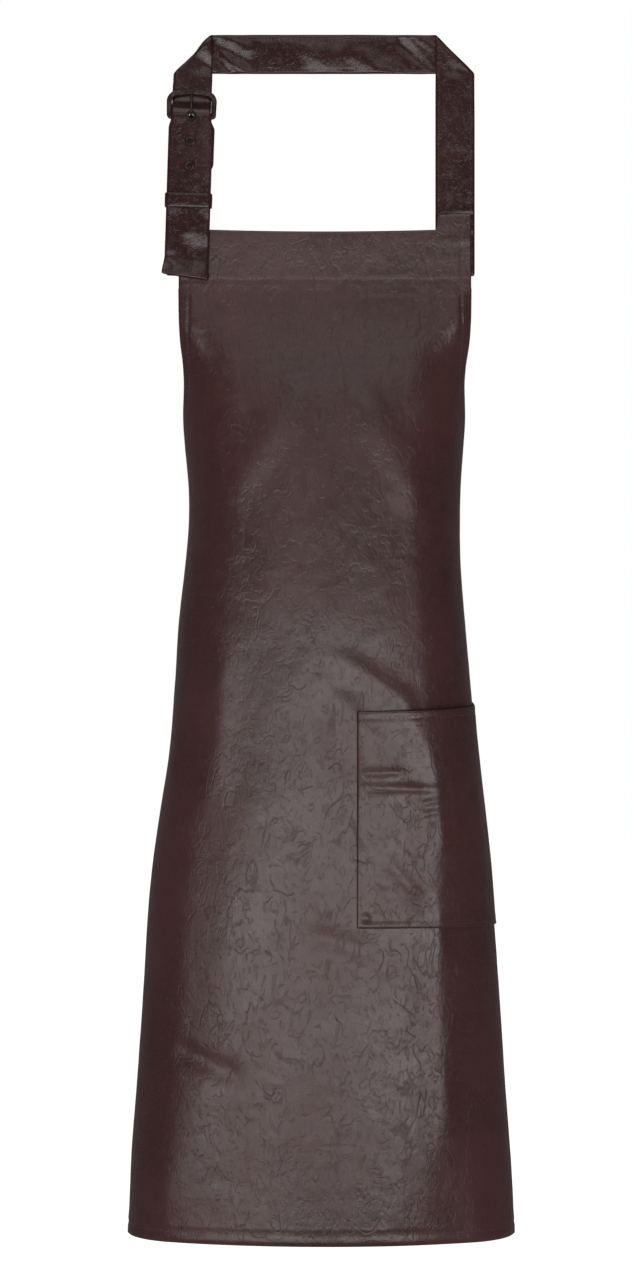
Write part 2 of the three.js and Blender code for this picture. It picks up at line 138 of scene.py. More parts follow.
def value_at(stations, z):
    """A smooth value in metres at height z in metres."""
    z /= MM
    last = len(stations) - 1
    if z >= stations[0][0]:
        return stations[0][1] * MM
    if z <= stations[last][0]:
        return stations[last][1] * MM
    after = next(i for i, (height, _) in enumerate(stations) if height < z)
    high_z, high_value = stations[after - 1]
    low_z, low_value = stations[after]

    def slope(i):
        a, b = stations[max(i - 1, 0)], stations[min(i + 1, last)]
        return (b[1] - a[1]) / (b[0] - a[0])

    span = low_z - high_z
    t = (z - high_z) / span
    rise = (2 * t**3 - 3 * t**2 + 1) * high_value + (3 * t**2 - 2 * t**3) * low_value
    lean = (t**3 - 2 * t**2 + t) * slope(after - 1) + (t**3 - t**2) * slope(after)
    return (rise + lean * span) * MM


section_memory = {}


def section(side, z):
    """The sizes of one side's level section at height z: a front, a corner and a side arc."""
    key = (side, round(z / MM, 2))
    if key not in section_memory:
        half = value_at(LEFT_HALF_WIDTH if side < 0 else RIGHT_HALF_WIDTH, z)
        front = value_at(FRONT_RADIUS, z)
        turn = math.asin((half - CORNER_RADIUS) / (front - CORNER_RADIUS))
        section_memory[key] = (
            half, front, value_at(SIDE_RADIUS, z), value_at(FRONT_DEPTH, z), turn, front * turn,
            front * turn + CORNER_RADIUS * (math.pi / 2 - turn),
        )
    return section_memory[key]


def wrap(s, z):
    """The place and outward direction at flat distance s from the centre line, at height z."""
    side = -1 if s < 0 else 1
    reach = abs(s)
    half, front, side_radius, depth, turn, corner_start, corner_end = section(side, z)
    corner_x = (front - CORNER_RADIUS) * math.sin(turn)
    corner_y = depth + front - (front - CORNER_RADIUS) * math.cos(turn)
    if reach > corner_end:
        angle = math.pi / 2 + (reach - corner_end) / side_radius
        x = half - side_radius + side_radius * math.sin(angle)
        y = corner_y - side_radius * math.cos(angle)
    elif reach > corner_start:
        angle = turn + (reach - corner_start) / CORNER_RADIUS
        x = corner_x + CORNER_RADIUS * math.sin(angle)
        y = corner_y - CORNER_RADIUS * math.cos(angle)
    else:
        angle = reach / front
        x = front * math.sin(angle)
        y = depth + front * (1 - math.cos(angle))
    return Vector((side * x, y, z)), Vector((side * math.sin(angle), -math.cos(angle), 0))


# ---- Camera, light, floor and world ----
CAMERA_DISTANCE = 3.7
FRAME_HEIGHT = 1.152
CAMERA_CENTRE_X = -8 * MM
CAMERA_HEIGHT = -510 * MM
FLOOR_DROP = 1.1
FLOOR_REACH = 30


def add_camera():
    data = bpy.data.cameras.new("camera")
    data.lens = data.sensor_width * CAMERA_DISTANCE / FRAME_HEIGHT
    camera = bpy.data.objects.new("camera", data)
    camera.location = (CAMERA_CENTRE_X, -CAMERA_DISTANCE, CAMERA_HEIGHT)
    camera.rotation_euler = (math.pi / 2, 0, 0)
    bpy.context.collection.objects.link(camera)
    bpy.context.scene.camera = camera


def add_softbox(name, place, target, size, power):
    """A rectangular area light at place, turned towards target."""
    data = bpy.data.lights.new(name, "AREA")
    data.shape = "RECTANGLE"
    data.size, data.size_y = size
    data.energy = power
    light = bpy.data.objects.new(name, data)
    light.location = place
    light.rotation_euler = (Vector(target) - Vector(place)).to_track_quat("-Z", "Y").to_euler()
    bpy.context.collection.objects.link(light)


# Each softbox's name, place, aim, size and power.
SOFTBOXES = [
    ("front_softbox", (-0.05, -4.3, -1.05), (-0.05, 0, -1.05), (4.7, 0.90), 43),
    ("waist_softbox", (0.1, -4.3, -0.38), (0.1, 0, -0.38), (2.2, 0.44), 10.5),
    ("right_softbox", (1.75, -4.35, -0.98), (1.75, 0, -0.98), (1.2, 0.95), 9),
    ("low_softbox", (-2.6, -4.25, -1.36), (-2.6, 0, -1.36), (3.6, 0.62), 20),
    ("chest_softbox", (0.15, -4.3, 1.5), (0.15, 0, 1.5), (2.3, 0.8), 8),
    ("high_softbox", (-0.4, -2.8, 3.0), (0, 0, -0.4), (4.2, 2.4), 50),
    ("back_softbox", (-2.0, 3.0, 2.0), (0, 0, -0.5), (2.6, 1.8), 45),
]
WHITE = (1, 1, 1, 1)
FLOOR_GREY = (0.92, 0.92, 0.92, 1)
ROOM_TINT = (0.95, 0.97, 1, 1)
ROOM_STRENGTH = 0.13


def add_floor():
    mesh = bpy.data.meshes.new("floor")
    corners = [(-1, -1), (1, -1), (1, 1), (-1, 1)]
    places = [(x * FLOOR_REACH, y * FLOOR_REACH, HEM - FLOOR_DROP) for x, y in corners]
    mesh.from_pydata(places, [], [(0, 1, 2, 3)])
    floor = bpy.data.objects.new("floor", mesh)
    bpy.context.collection.objects.link(floor)
    material = bpy.data.materials.new("floor_white")
    material.use_nodes = True
    shader = material.node_tree.nodes["Principled BSDF"]
    shader.inputs["Base Color"].default_value = FLOOR_GREY
    shader.inputs["Roughness"].default_value = 0.9
    shader.inputs["Emission Color"].default_value = WHITE
    shader.inputs["Emission Strength"].default_value = 1.0
    mesh.materials.append(material)
    floor.visible_glossy = False


def add_world():
    """White to the camera, and a faint cool light to everything else."""
    world = bpy.data.worlds.new("studio")
    world.use_nodes = True
    nodes, links = world.node_tree.nodes, world.node_tree.links
    nodes.clear()
    seen = nodes.new("ShaderNodeBackground")
    seen.inputs["Color"].default_value = WHITE
    lit = nodes.new("ShaderNodeBackground")
    lit.inputs["Color"].default_value = ROOM_TINT
    lit.inputs["Strength"].default_value = ROOM_STRENGTH
    path = nodes.new("ShaderNodeLightPath")
    mix = nodes.new("ShaderNodeMixShader")
    out = nodes.new("ShaderNodeOutputWorld")
    links.new(path.outputs["Is Camera Ray"], mix.inputs[0])
    links.new(lit.outputs[0], mix.inputs[1])
    links.new(seen.outputs[0], mix.inputs[2])
    links.new(mix.outputs[0], out.inputs[0])
    bpy.context.scene.world = world
    bpy.context.scene.view_settings.view_transform = "Standard"


add_camera()
for softbox in SOFTBOXES:
    add_softbox(*softbox)
add_floor()
add_world()


# ---- Materials ----
class Nodes:
    """A short way to build a material's node tree."""

    def __init__(self, name):
        self.material = bpy.data.materials.new(name)
        self.material.use_nodes = True
        self.tree = self.material.node_tree
        self.shader = self.tree.nodes["Principled BSDF"]
        self.place = self.tree.nodes.new("ShaderNodeTexCoord").outputs["Object"]

    def add(self, kind, inputs=(), **settings):
        node = self.tree.nodes.new("ShaderNode" + kind)
        for key, value in settings.items():
            setattr(node, key, value)
        for socket, value in dict(inputs).items():
            self.put(node.inputs[socket], value)
        return node

    def put(self, socket, value):
        if hasattr(value, "is_output"):
            self.tree.links.new(value, socket)
        else:
            socket.default_value = value

    def maths(self, operation, a, b=0.5, c=0.5):
        return self.add("Math", {0: a, 1: b, 2: c}, operation=operation).outputs[0]

    def noise(self, scale, detail=3.0, roughness=0.55, distortion=0.0, place=None):
        found = self.add("TexNoise", {
            "Vector": place or self.place, "Scale": scale, "Detail": detail, "Roughness": roughness,
            "Distortion": distortion,
        })
        return found.outputs["Fac"]

    def ramp(self, value, low, high, to_low=0.0, to_high=1.0):
        found = self.add("MapRange", {
            "Value": value, "From Min": low, "From Max": high, "To Min": to_low, "To Max": to_high,
        }, interpolation_type="SMOOTHSTEP")
        return found.outputs["Result"]

    def blend(self, factor, first, second):
        mix = self.add("Mix", {0: factor}, data_type="RGBA")
        self.put(mix.inputs[6], first)
        self.put(mix.inputs[7], second)
        return mix.outputs[2]

    def creases(self, scale, width, cover):
        """Short curved crease strokes, mostly upright, broken up so that only a share shows: 1 on one."""
        flow = self.noise(scale, 2.0, 0.45, 1.6, place=self.stretched(0.55))
        away = self.maths("ABSOLUTE", self.maths("SUBTRACT", flow, 0.5))
        line = self.ramp(away, 0.0, width, 1.0, 0.0)
        patches = self.ramp(self.noise(scale * 1.3, 2.0), cover, cover + 0.10)
        return self.maths("MULTIPLY", line, patches)

    def stretched(self, length):
        """The object's own places, with the pattern drawn out along its height."""
        return self.add("Mapping", {"Vector": self.place, "Scale": (1.0, 1.0, length)}).outputs[0]

    def wave(self, scale, distortion, direction):
        settings = {"Vector": self.place, "Scale": scale, "Distortion": distortion}
        return self.add("TexWave", settings, bands_direction=direction)

    def bump(self, height, depth, under=None):
        node = self.add("Bump", {"Height": height, "Distance": depth, "Strength": 1.0})
        if under is not None:
            self.put(node.inputs["Normal"], under)
        return node.outputs["Normal"]


DARK_BROWN = (0.031, 0.0105, 0.0100, 1)
WARM_BROWN = (0.041, 0.0135, 0.0128, 1)
# A deeper brown that paints shade into the crease strokes.
CREASE_SHADE_BROWN = (0.016, 0.0055, 0.0055, 1)
EDGE_BROWN = (0.050, 0.019, 0.017, 1)
KNIT_DARK = (0.035, 0.024, 0.021, 1)
KNIT_LIGHT = (0.082, 0.060, 0.052, 1)
KNIT_FUZZ = (0.11, 0.085, 0.075, 1)
THREAD_DARK = (0.050, 0.026, 0.023, 1)
THREAD_LIGHT = (0.125, 0.076, 0.068, 1)
METAL_DARK = (0.020, 0.013, 0.011, 1)
METAL_LIGHT = (0.060, 0.040, 0.033, 1)
# A light brass colour for the high spots: rubbed wear, and a painted highlight there too.
METAL_WEAR_AND_HIGHLIGHT = (0.17, 0.125, 0.095, 1)


def make_leather(name, tone, shine, roughness, crease_scale, crease_depth, grain_depth):
    """Coated leather-look sheet: pebble grain, upright streaks, broken creases with painted shade along them,
    and a soft uneven gloss.
    """
    n = Nodes(name)
    dark, warm = [tuple(channel * tone for channel in brown[:3]) + (1,) for brown in (DARK_BROWN, WARM_BROWN)]
    veins = n.creases(crease_scale, 0.034, 0.47)
    fine_veins = n.creases(crease_scale * 2.7, 0.060, 0.45)
    streaks = n.noise(150.0, 4.0, 0.62, 0.9, place=n.stretched(0.4))
    cloudy = n.noise(9.0, 4.0, 0.6)
    pebble = n.add("TexVoronoi", {"Vector": n.place, "Scale": 1150.0, "Randomness": 1.0}, feature="SMOOTH_F1")
    n.put(pebble.inputs["Smoothness"], 0.6)
    mottle = n.noise(130.0, 5.0, 0.65, 0.8)
    swell = n.noise(26.0, 3.0, 0.5, 1.2)

    colour = n.blend(n.ramp(cloudy, 0.36, 0.66), dark, warm)
    colour = n.blend(n.maths("MULTIPLY", n.ramp(mottle, 0.52, 0.7), 0.35), colour, EDGE_BROWN)
    creased = n.maths("MAXIMUM", veins, n.maths("MULTIPLY", fine_veins, 0.6))
    # Painted shade: the crease strokes are darkened towards a deeper brown, as if shade lay in them.
    colour = n.blend(n.maths("MULTIPLY", creased, 0.25), colour, CREASE_SHADE_BROWN)
    n.put(n.shader.inputs["Base Color"], colour)

    gloss = n.ramp(cloudy, 0.3, 0.7, roughness - 0.035, roughness + 0.045)
    gloss = n.maths("ADD", gloss, n.maths("MULTIPLY", n.ramp(mottle, 0.4, 0.7), 0.05))
    gloss = n.maths("ADD", gloss, n.maths("MULTIPLY", creased, 0.12))
    n.put(n.shader.inputs["Roughness"], gloss)
    n.shader.inputs["Specular IOR Level"].default_value = shine

    normal = n.bump(swell, 0.5 * MM)
    normal = n.bump(n.maths("SUBTRACT", 1.0, veins), crease_depth * 0.8, under=normal)
    normal = n.bump(n.maths("SUBTRACT", 1.0, fine_veins), crease_depth * 0.6, under=normal)
    normal = n.bump(streaks, crease_depth * 1.3, under=normal)
    normal = n.bump(mottle, crease_depth * 0.7, under=normal)
    normal = n.bump(pebble.outputs["Distance"], grain_depth, under=normal)
    n.put(n.shader.inputs["Normal"], normal)
    return n.material


def make_backing():
    """The knitted cloth that the coated sheet is laid on, seen from inside the apron."""
    n = Nodes("knit_backing")
    ribs, courses = n.wave(420.0, 1.2, "X"), n.wave(330.0, 1.0, "Z")
    for wave in (ribs, courses):
        n.put(wave.inputs["Detail"], 1.0)
    weave = n.maths("MULTIPLY", ribs.outputs["Fac"], courses.outputs["Fac"])
    fuzz = n.noise(60.0, 4.0, 0.7)
    colour = n.blend(n.ramp(weave, 0.1, 0.9), KNIT_DARK, KNIT_LIGHT)
    colour = n.blend(n.maths("MULTIPLY", n.ramp(fuzz, 0.45, 0.7), 0.4), colour, KNIT_FUZZ)
    n.put(n.shader.inputs["Base Color"], colour)
    n.put(n.shader.inputs["Roughness"], n.ramp(fuzz, 0.2, 0.8, 0.85, 0.97))
    n.shader.inputs["Sheen Weight"].default_value = 0.15
    n.shader.inputs["Specular IOR Level"].default_value = 0.25
    n.put(n.shader.inputs["Normal"], n.bump(weave, 0.25 * MM, under=n.bump(fuzz, 0.5 * MM)))
    return n.material


def make_thread():
    """Twisted sewing thread."""
    n = Nodes("dark_thread")
    twist = n.wave(1400.0, 2.0, "DIAGONAL")
    colour = n.blend(twist.outputs["Fac"], THREAD_DARK, THREAD_LIGHT)
    n.put(n.shader.inputs["Base Color"], colour)
    n.put(n.shader.inputs["Roughness"], n.ramp(twist.outputs["Fac"], 0.0, 1.0, 0.6, 0.45))
    n.put(n.shader.inputs["Normal"], n.bump(twist.outputs["Fac"], 0.15 * MM))
    return n.material


def make_metal():
    """Antique plated metal: dark in the hollows, and lighter on the high spots, partly rubbed wear and partly
    a painted highlight.
    """
    n = Nodes("antique_metal")
    tarnish = n.noise(240.0, 5.0, 0.65)
    scratches = n.noise(900.0, 3.0, 0.7, place=n.stretched(0.2))
    # The high spots, found by pointiness, are painted lighter: rubbed wear, and a painted highlight that
    # stands in for their shine.
    wear_and_highlight = n.ramp(n.add("NewGeometry").outputs["Pointiness"], 0.5, 0.56)
    colour = n.blend(n.ramp(tarnish, 0.35, 0.68), METAL_DARK, METAL_LIGHT)
    colour = n.blend(n.maths("MULTIPLY", wear_and_highlight, 0.55), colour, METAL_WEAR_AND_HIGHLIGHT)
    n.put(n.shader.inputs["Base Color"], colour)
    n.shader.inputs["Metallic"].default_value = 0.92
    n.put(n.shader.inputs["Roughness"], n.ramp(tarnish, 0.3, 0.7, 0.52, 0.38))
    n.put(n.shader.inputs["Normal"], n.bump(scratches, 0.05 * MM, under=n.bump(tarnish, 0.12 * MM)))
    return n.material


apron_leather = make_leather("apron_leather", 1.0, 0.5, 0.27, 30.0, 0.13 * MM, 0.03 * MM)
strap_leather = make_leather("strap_leather", 0.64, 0.38, 0.15, 60.0, 0.07 * MM, 0.03 * MM)
knit_backing = make_backing()
dark_thread = make_thread()
antique_metal = make_metal()


# ---- Mesh makers ----
def add_piece(name, points, faces, materials, body, material_of=None):
    mesh = bpy.data.meshes.new(name)
    mesh.from_pydata([tuple(p) for p in points], [], faces)
    for material in materials:
        mesh.materials.append(material)
    mesh.polygons.foreach_set("use_smooth", [True] * len(mesh.polygons))
    if material_of is not None:
        mesh.polygons.foreach_set("material_index", material_of)
    mesh.validate()
    mesh.update()
    piece = bpy.data.objects.new(name, mesh)
    bpy.context.collection.objects.link(piece)
    if body:
        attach(piece, body)
    return piece


def add_sheet(name, surface, columns, rows, offsets, materials, body):
    """A closed sheet on surface(u, v) -> (point, normal), with u to the right and v downward as seen
    from outside. offsets(u, v) gives how far its outer and inner faces lie from the surface. Its rim is
    rounded by one more ring of points."""
    across = columns + 1
    layer = across * (rows + 1)
    outer, inner = [], []
    for j in range(rows + 1):
        for i in range(across):
            u, v = i / columns, j / rows
            point, normal = surface(u, v)
            up, down = offsets(u, v)
            outer.append(point + normal * up)
            inner.append(point + normal * down)
    faces, kinds = [], []
    for j in range(rows):
        for i in range(columns):
            a = j * across + i
            d = a + across
            faces.append((a, d, d + 1, a + 1))
            kinds.append(0)
            faces.append((layer + a, layer + a + 1, layer + d + 1, layer + d))
            kinds.append(len(materials) - 1)
    # The border runs clockwise as seen from outside, each point with its neighbour further in.
    border = [(i, across + i) for i in range(columns)]
    border += [(j * across + columns, j * across + columns - 1) for j in range(rows)]
    border += [(rows * across + i, (rows - 1) * across + i) for i in range(columns, 0, -1)]
    border += [(j * across, j * across + 1) for j in range(rows, 0, -1)]
    points = outer + inner
    ring = len(points)
    for at, within in border:
        middle = (outer[at] + inner[at]) / 2
        outward = middle - (outer[within] + inner[within]) / 2
        thickness = (outer[at] - inner[at]).length
        points.append(middle + outward.normalized() * thickness * 0.4)
    for k, (at, _) in enumerate(border):
        following = (k + 1) % len(border)
        nxt = border[following][0]
        faces.append((at, nxt, ring + following, ring + k))
        kinds.append(0)
        faces.append((ring + k, ring + following, layer + nxt, layer + at))
        kinds.append(0)
    return add_piece(name, points, faces, materials, body, kinds)


def ring_faces(first, rings, sides, closed=False):
    """Faces between rings of points that follow one another, from point number first on."""
    faces = []
    for k in range(rings if closed else rings - 1):
        here, onward = first + k * sides, first + (k + 1) % rings * sides
        for i in range(sides):
            j = (i + 1) % sides
            faces.append((here + i, onward + i, onward + j, here + j))
    return faces


STITCH_SIDES = 6
STITCH_RINGS = (0.0, 0.55, 0.9, 1.0, 0.9, 0.55, 0.0)


def add_stitches(name, seams, body, length=3.0 * MM, pitch=3.9 * MM, radius=0.32 * MM):
    """Sewn thread: one small bead of thread for each stitch, along each seam. A seam is a list of
    (point, normal) pairs; the beads lie half sunk in the surface."""
    points, faces = [], []
    for seam in seams:
        travelled, due = 0.0, pitch / 2
        for (start, n0), (end, n1) in zip(seam, seam[1:]):
            step = (end - start).length
            while step > 0 and due <= travelled + step:
                t = (due - travelled) / step
                centre, normal = start.lerp(end, t), n0.lerp(n1, t).normalized()
                along = (end - start).normalized()
                side = along.cross(normal).normalized()
                first = len(points)
                for k, swell in enumerate(STITCH_RINGS):
                    x = (k / (len(STITCH_RINGS) - 1) - 0.5) * length
                    r = max(swell, 0.12) * radius
                    rise = radius * 0.45 * swell
                    for i in range(STITCH_SIDES):
                        angle = 2 * math.pi * i / STITCH_SIDES
                        lift = normal * (math.sin(angle) * r + rise - radius * 0.25)
                        points.append(centre + along * x + side * math.cos(angle) * r + lift)
                faces += ring_faces(first, len(STITCH_RINGS), STITCH_SIDES)
                faces.append(tuple(first + i for i in range(STITCH_SIDES)))
                last = first + (len(STITCH_RINGS) - 1) * STITCH_SIDES
                faces.append(tuple(last + i for i in range(STITCH_SIDES))[::-1])
                due += pitch
            travelled += step
    return add_piece(name, points, faces, [dark_thread], body)


# ---- The panel ----
BIB_SHARE = 0.09
ARMHOLE_SHARE = 0.33
STITCH_INSET = 9 * MM
FACING_SEAM = FACING_BOTTOM + 2 * MM
PUCKER_WIDTH = 7 * MM
CALM_BIB = 60 * MM
CALM_SHARE = 0.35
TAB_HEIGHT = 14 * MM
TAB_EDGE = 101 * MM
TAB_SEAMS = [-131 * MM, -146 * MM]


def hem_height(s):
    """The height of the panel's bottom edge, which rises a little towards its sides."""
    return HEM + HEM_RISE * (s / PANEL_HALF_WIDTH) ** 2


def bib_top_height(share):
    """The height of the bib's top edge, which sags in the middle; share is 1 at its corners."""
    return BIB_TOP - BIB_TOP_SAG * (1 - share ** 2)


def panel_place(u, v):
    """Flat distance from the centre line, height, and half-width there, for a share across and down."""
    bib = min(v / BIB_SHARE, 1)
    swing = clamp((v - BIB_SHARE) / ARMHOLE_SHARE) * math.pi / 2
    skirt = max(v - BIB_SHARE - ARMHOLE_SHARE, 0) / (1 - BIB_SHARE - ARMHOLE_SHARE)
    half_width = BIB_HALF_WIDTH + (PANEL_HALF_WIDTH - BIB_HALF_WIDTH) * (1 - math.cos(swing))
    s = (2 * u - 1) * half_width
    if skirt > 0:
        z = lerp(WAIST, hem_height(s), skirt)
    elif swing > 0:
        outward = abs(2 * u - 1) ** 3
        z = lerp(ARMHOLE_TOP, WAIST, lerp(swing / (math.pi / 2), math.sin(swing), outward))
    else:
        drawn_up = TAB_HEIGHT * smooth(s, TAB_EDGE - 2 * MM, TAB_EDGE + 2 * MM) * (1 - bib) ** 3
        z = lerp(bib_top_height(s / half_width) + drawn_up, ARMHOLE_TOP, bib)
    return s, z, half_width


def edge_distance(s, z):
    """How far a place lies from the panel's nearest side or bottom edge, about."""
    depth = clamp((z - ARMHOLE_TOP) / (WAIST - ARMHOLE_TOP))
    flare, rise = PANEL_HALF_WIDTH - BIB_HALF_WIDTH, math.sqrt(1 - depth * depth)
    half_width = BIB_HALF_WIDTH + flare * (1 - rise)
    slope = flare * depth / rise / (ARMHOLE_TOP - WAIST) if 0 < depth < 1 else 0.0
    to_side = (half_width - abs(s)) / math.sqrt(1 + slope * slope)
    return min(to_side, z - hem_height(s))


def ridge(s, z, start, end, width):
    """1 along the line from start to end, falling off smoothly to the sides and towards both ends."""
    line = Vector(end) - Vector(start)
    offset = Vector((s, z)) - Vector(start)
    share = offset.dot(line) / line.length_squared
    across = bell((offset - line * share).length, width)
    return across * smooth(share, -0.15, 0.25) * (1 - smooth(share, 0.7, 1.15))


# Soft folds of the worn sheet, in metres: start and end as (s, z), width and height.
FOLDS = [
    ((-0.010, -0.265), (-0.085, -0.385), 0.016, 0.0016),
    ((0.022, -0.270), (0.098, -0.410), 0.017, 0.0018),
    ((0.005, -0.300), (0.000, -0.470), 0.040, -0.0014),
    ((0.118, -0.185), (0.122, -0.345), 0.011, 0.0014),
    ((-0.118, -0.200), (-0.120, -0.345), 0.010, 0.0010),
    ((-0.100, -0.360), (-0.130, -0.560), 0.020, 0.0015),
    ((0.095, -0.395), (0.125, -0.560), 0.020, 0.0015),
    ((-0.060, -0.640), (-0.105, -0.900), 0.030, 0.0018),
    ((-0.020, -0.700), (-0.030, -1.020), 0.045, 0.0014),
    ((0.070, -0.800), (0.100, -1.030), 0.032, 0.0018),
    ((-0.110, -0.880), (-0.150, -1.050), 0.026, 0.0020),
    ((-0.140, -0.872), (-0.072, -0.902), 0.011, -0.0017),
    ((-0.088, -0.500), (-0.098, -0.660), 0.014, 0.0016),
    ((-0.020, -0.770), (0.050, -0.790), 0.010, -0.0011),
    ((0.014, -0.527), (0.078, -0.566), 0.010, 0.0013),
    ((0.068, -0.558), (0.099, -0.635), 0.010, 0.0018),
    ((0.097, -0.615), (0.103, -0.800), 0.010, 0.0022),
    ((0.103, -0.770), (0.112, -0.970), 0.013, 0.0020),
    ((0.012, -0.556), (0.040, -0.600), 0.008, 0.0008),
    ((-0.008, -0.560), (0.024, -0.640), 0.010, -0.0007),
]


# The sheet's broad, middle and fine waves: height, how fast each varies across and down, and a seed.
SWELLS = [(1.1 * MM, 8, 6, 3.1), (0.45 * MM, 24, 20, 7.7), (0.16 * MM, 70, 60, 1.9)]


def relief(s, z):
    """How far the worn sheet stands off its smooth wrapped shape."""
    height = sum(tall * ridge(s, z, start, end, width) for start, end, width, tall in FOLDS)
    for tall, across, down, seed in SWELLS:
        height += tall * rough(s * across, z * down, seed)
    from_side_seam = edge_distance(s, z) - STITCH_INSET
    from_facing_seam = z - FACING_SEAM
    pull = 0.5 + 0.5 * rough(s * 90, z * 90, 5.0)
    height -= 0.65 * MM * max(bell(from_side_seam, 1.3 * MM), bell(from_facing_seam, 1.4 * MM))
    pucker = max(bell(from_side_seam, PUCKER_WIDTH), bell(from_facing_seam, PUCKER_WIDTH) * 0.7)
    height += 0.45 * MM * pull * pucker
    if s > TAB_EDGE and z > TAB_SEAMS[-1] - 12 * MM:
        for seam_height in TAB_SEAMS:
            height -= 0.5 * MM * bell(z - seam_height, 1.4 * MM)
            height += 0.9 * MM * pull * bell(z - seam_height + 4 * MM, 4 * MM)
    return height


def worn_relief(s, z):
    """The relief, held down near the top of the bib, where the facing stiffens the sheet."""
    return relief(s, z) * (1 if z < BIB_TOP - CALM_BIB else CALM_SHARE)


def panel_surface(u, v):
    s, z, _ = panel_place(u, v)
    point, normal = wrap(s, z)
    return point + normal * worn_relief(s, z), normal


def panel_offsets(u, v):
    """The hems are turned to the inside, so the inner face steps in near the edges."""
    s, z, _ = panel_place(u, v)
    turned = 1 - smooth(edge_distance(s, z), HEM_WIDTH, HEM_WIDTH + 2 * MM)
    if z > FACING_BOTTOM - 6 * MM:
        turned = 0
    return PANEL_THICKNESS / 2, -PANEL_THICKNESS / 2 - turned * (HEM_THICKNESS - PANEL_THICKNESS)


def seam_on_panel(places, lift=PANEL_THICKNESS / 2):
    """A seam along (s, z) places on the panel's outer face."""
    seam = []
    for s, z in places:
        point, normal = wrap(s, z)
        seam.append((point + normal * (lift + worn_relief(s, z)), normal))
    return seam


def side_seam(side):
    """The line STITCH_INSET inside the panel's side edge, from the top to the bottom hem."""
    places = []
    for share in shares(400):
        v = lerp(0.002, 0.995, share)
        s, z, half_width = panel_place(1, v)
        before, after = panel_place(1, max(v - 0.002, 0)), panel_place(1, min(v + 0.002, 1))
        along = Vector((after[0] - before[0], after[1] - before[1])).normalized()
        inward = Vector((along.y, -along.x))
        places.append((side * (s + inward.x * STITCH_INSET), z + inward.y * STITCH_INSET))
    above_hem = [(s, z) for s, z in places if z > hem_height(s) + STITCH_INSET]
    return [(s, z) for s, z in above_hem if z < WAIST or abs(s) < 0.3]


def make_panel():
    columns, rows = ((230, 340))
    panel = add_sheet(
        "apron_panel", panel_surface, columns, rows, panel_offsets, [apron_leather, knit_backing], APRON,
    )
    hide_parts("front_panel")
    inner, reach = BIB_HALF_WIDTH - STITCH_INSET, PANEL_HALF_WIDTH - STITCH_INSET
    top_seam = [(lerp(-inner, inner, share), FACING_SEAM) for share in shares(200)]
    along_hem = [lerp(-reach, reach, share) for share in shares(400)]
    hem_seam = [(s, hem_height(s) + STITCH_INSET) for s in along_hem]
    tab_start, tab_end = TAB_EDGE + 3 * MM, BIB_HALF_WIDTH - 4 * MM
    tab_seams = [[(lerp(tab_start, tab_end, share), z) for share in shares(40)] for z in TAB_SEAMS]
    places = [top_seam, hem_seam, side_seam(1), side_seam(-1)] + tab_seams
    add_stitches("panel_stitching", [seam_on_panel(p) for p in places], APRON)


make_panel()


# ---- The facing and the pocket ----
def make_facing():
    half_width = BIB_HALF_WIDTH - 3 * MM
    offset = PANEL_THICKNESS / 2 + LAYER_GAP + FACING_THICKNESS / 2

    def surface(u, v):
        s = (2 * u - 1) * half_width
        z = lerp(bib_top_height(2 * u - 1) - MM, FACING_BOTTOM, v)
        point, normal = wrap(s, z)
        return point - normal * offset, normal

    facing = add_sheet(
        "bib_facing_band", surface, 100, 20, lambda u, v: (FACING_THICKNESS / 2, -FACING_THICKNESS / 2),
        [apron_leather, apron_leather], APRON,
    )
    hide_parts("bib_facing")


POCKET_STITCH = 3 * MM
POCKET_MOUTH_STITCH = 6 * MM
POCKET_SLACK = 0.66
POCKET_GAP = 0.15 * MM


# Small creases in the pocket, as in FOLDS.
POCKET_FOLDS = [
    ((0.028, -0.629), (0.070, -0.627), 0.0035, 0.0009),
    ((0.028, -0.641), (0.103, -0.643), 0.0040, 0.0009),
    ((0.086, -0.656), (0.102, -0.652), 0.0026, 0.0007),
    ((0.086, -0.666), (0.102, -0.662), 0.0026, 0.0007),
    ((0.050, -0.700), (0.085, -0.742), 0.0060, 0.0007),
    ((0.100, -0.640), (0.106, -0.700), 0.006, 0.0011),
    ((0.112, -0.625), (0.118, -0.690), 0.005, 0.0009),
    ((0.060, -0.590), (0.110, -0.680), 0.014, -0.0008),
]


def pocket_point(u, v):
    """The pocket's middle surface: sewn flat at three sides, standing off a little at the mouth."""
    s = POCKET_INNER_EDGE + POCKET_WIDTH * u
    z = lerp(POCKET_TOP + POCKET_TOP_RISE * u * u, POCKET_TOP - POCKET_HEIGHT, v)
    point, normal = wrap(s, z)
    room = POCKET_ROOM * math.sin(math.pi * clamp(u / POCKET_SLACK)) ** 0.7 * (1 - v * v)
    seam = min(u * POCKET_WIDTH, (1 - u) * POCKET_WIDTH, (1 - v) * POCKET_HEIGHT)
    groove = bell(seam - POCKET_STITCH, 1.1 * MM)
    mouth = bell(v * POCKET_HEIGHT - POCKET_MOUTH_STITCH, 1.2 * MM)
    pull = 0.5 + 0.5 * rough(s * 110, z * 110, 2.0)
    near = bell(seam - POCKET_STITCH, 6 * MM)
    wrinkle = sum(tall * ridge(s, z, start, end, width) for start, end, width, tall in POCKET_FOLDS)
    wrinkle += 0.5 * MM * rough(s * 22, z * 18, 9.3)
    follow = relief(s, z) * (0.4 + 0.6 * clamp(1 - seam / (30 * MM)))
    from_corner = math.hypot(s - POCKET_INNER_EDGE - 7 * MM, z - POCKET_TOP + POCKET_HEIGHT - 9 * MM)
    height = follow + room + wrinkle * smooth(seam, 0, 8 * MM) + 0.4 * MM * pull * near
    height += 1.2 * MM * bell(from_corner, 4 * MM)
    height -= 0.4 * MM * max(groove, mouth)
    return point + normal * (PANEL_THICKNESS + POCKET_GAP + height), normal


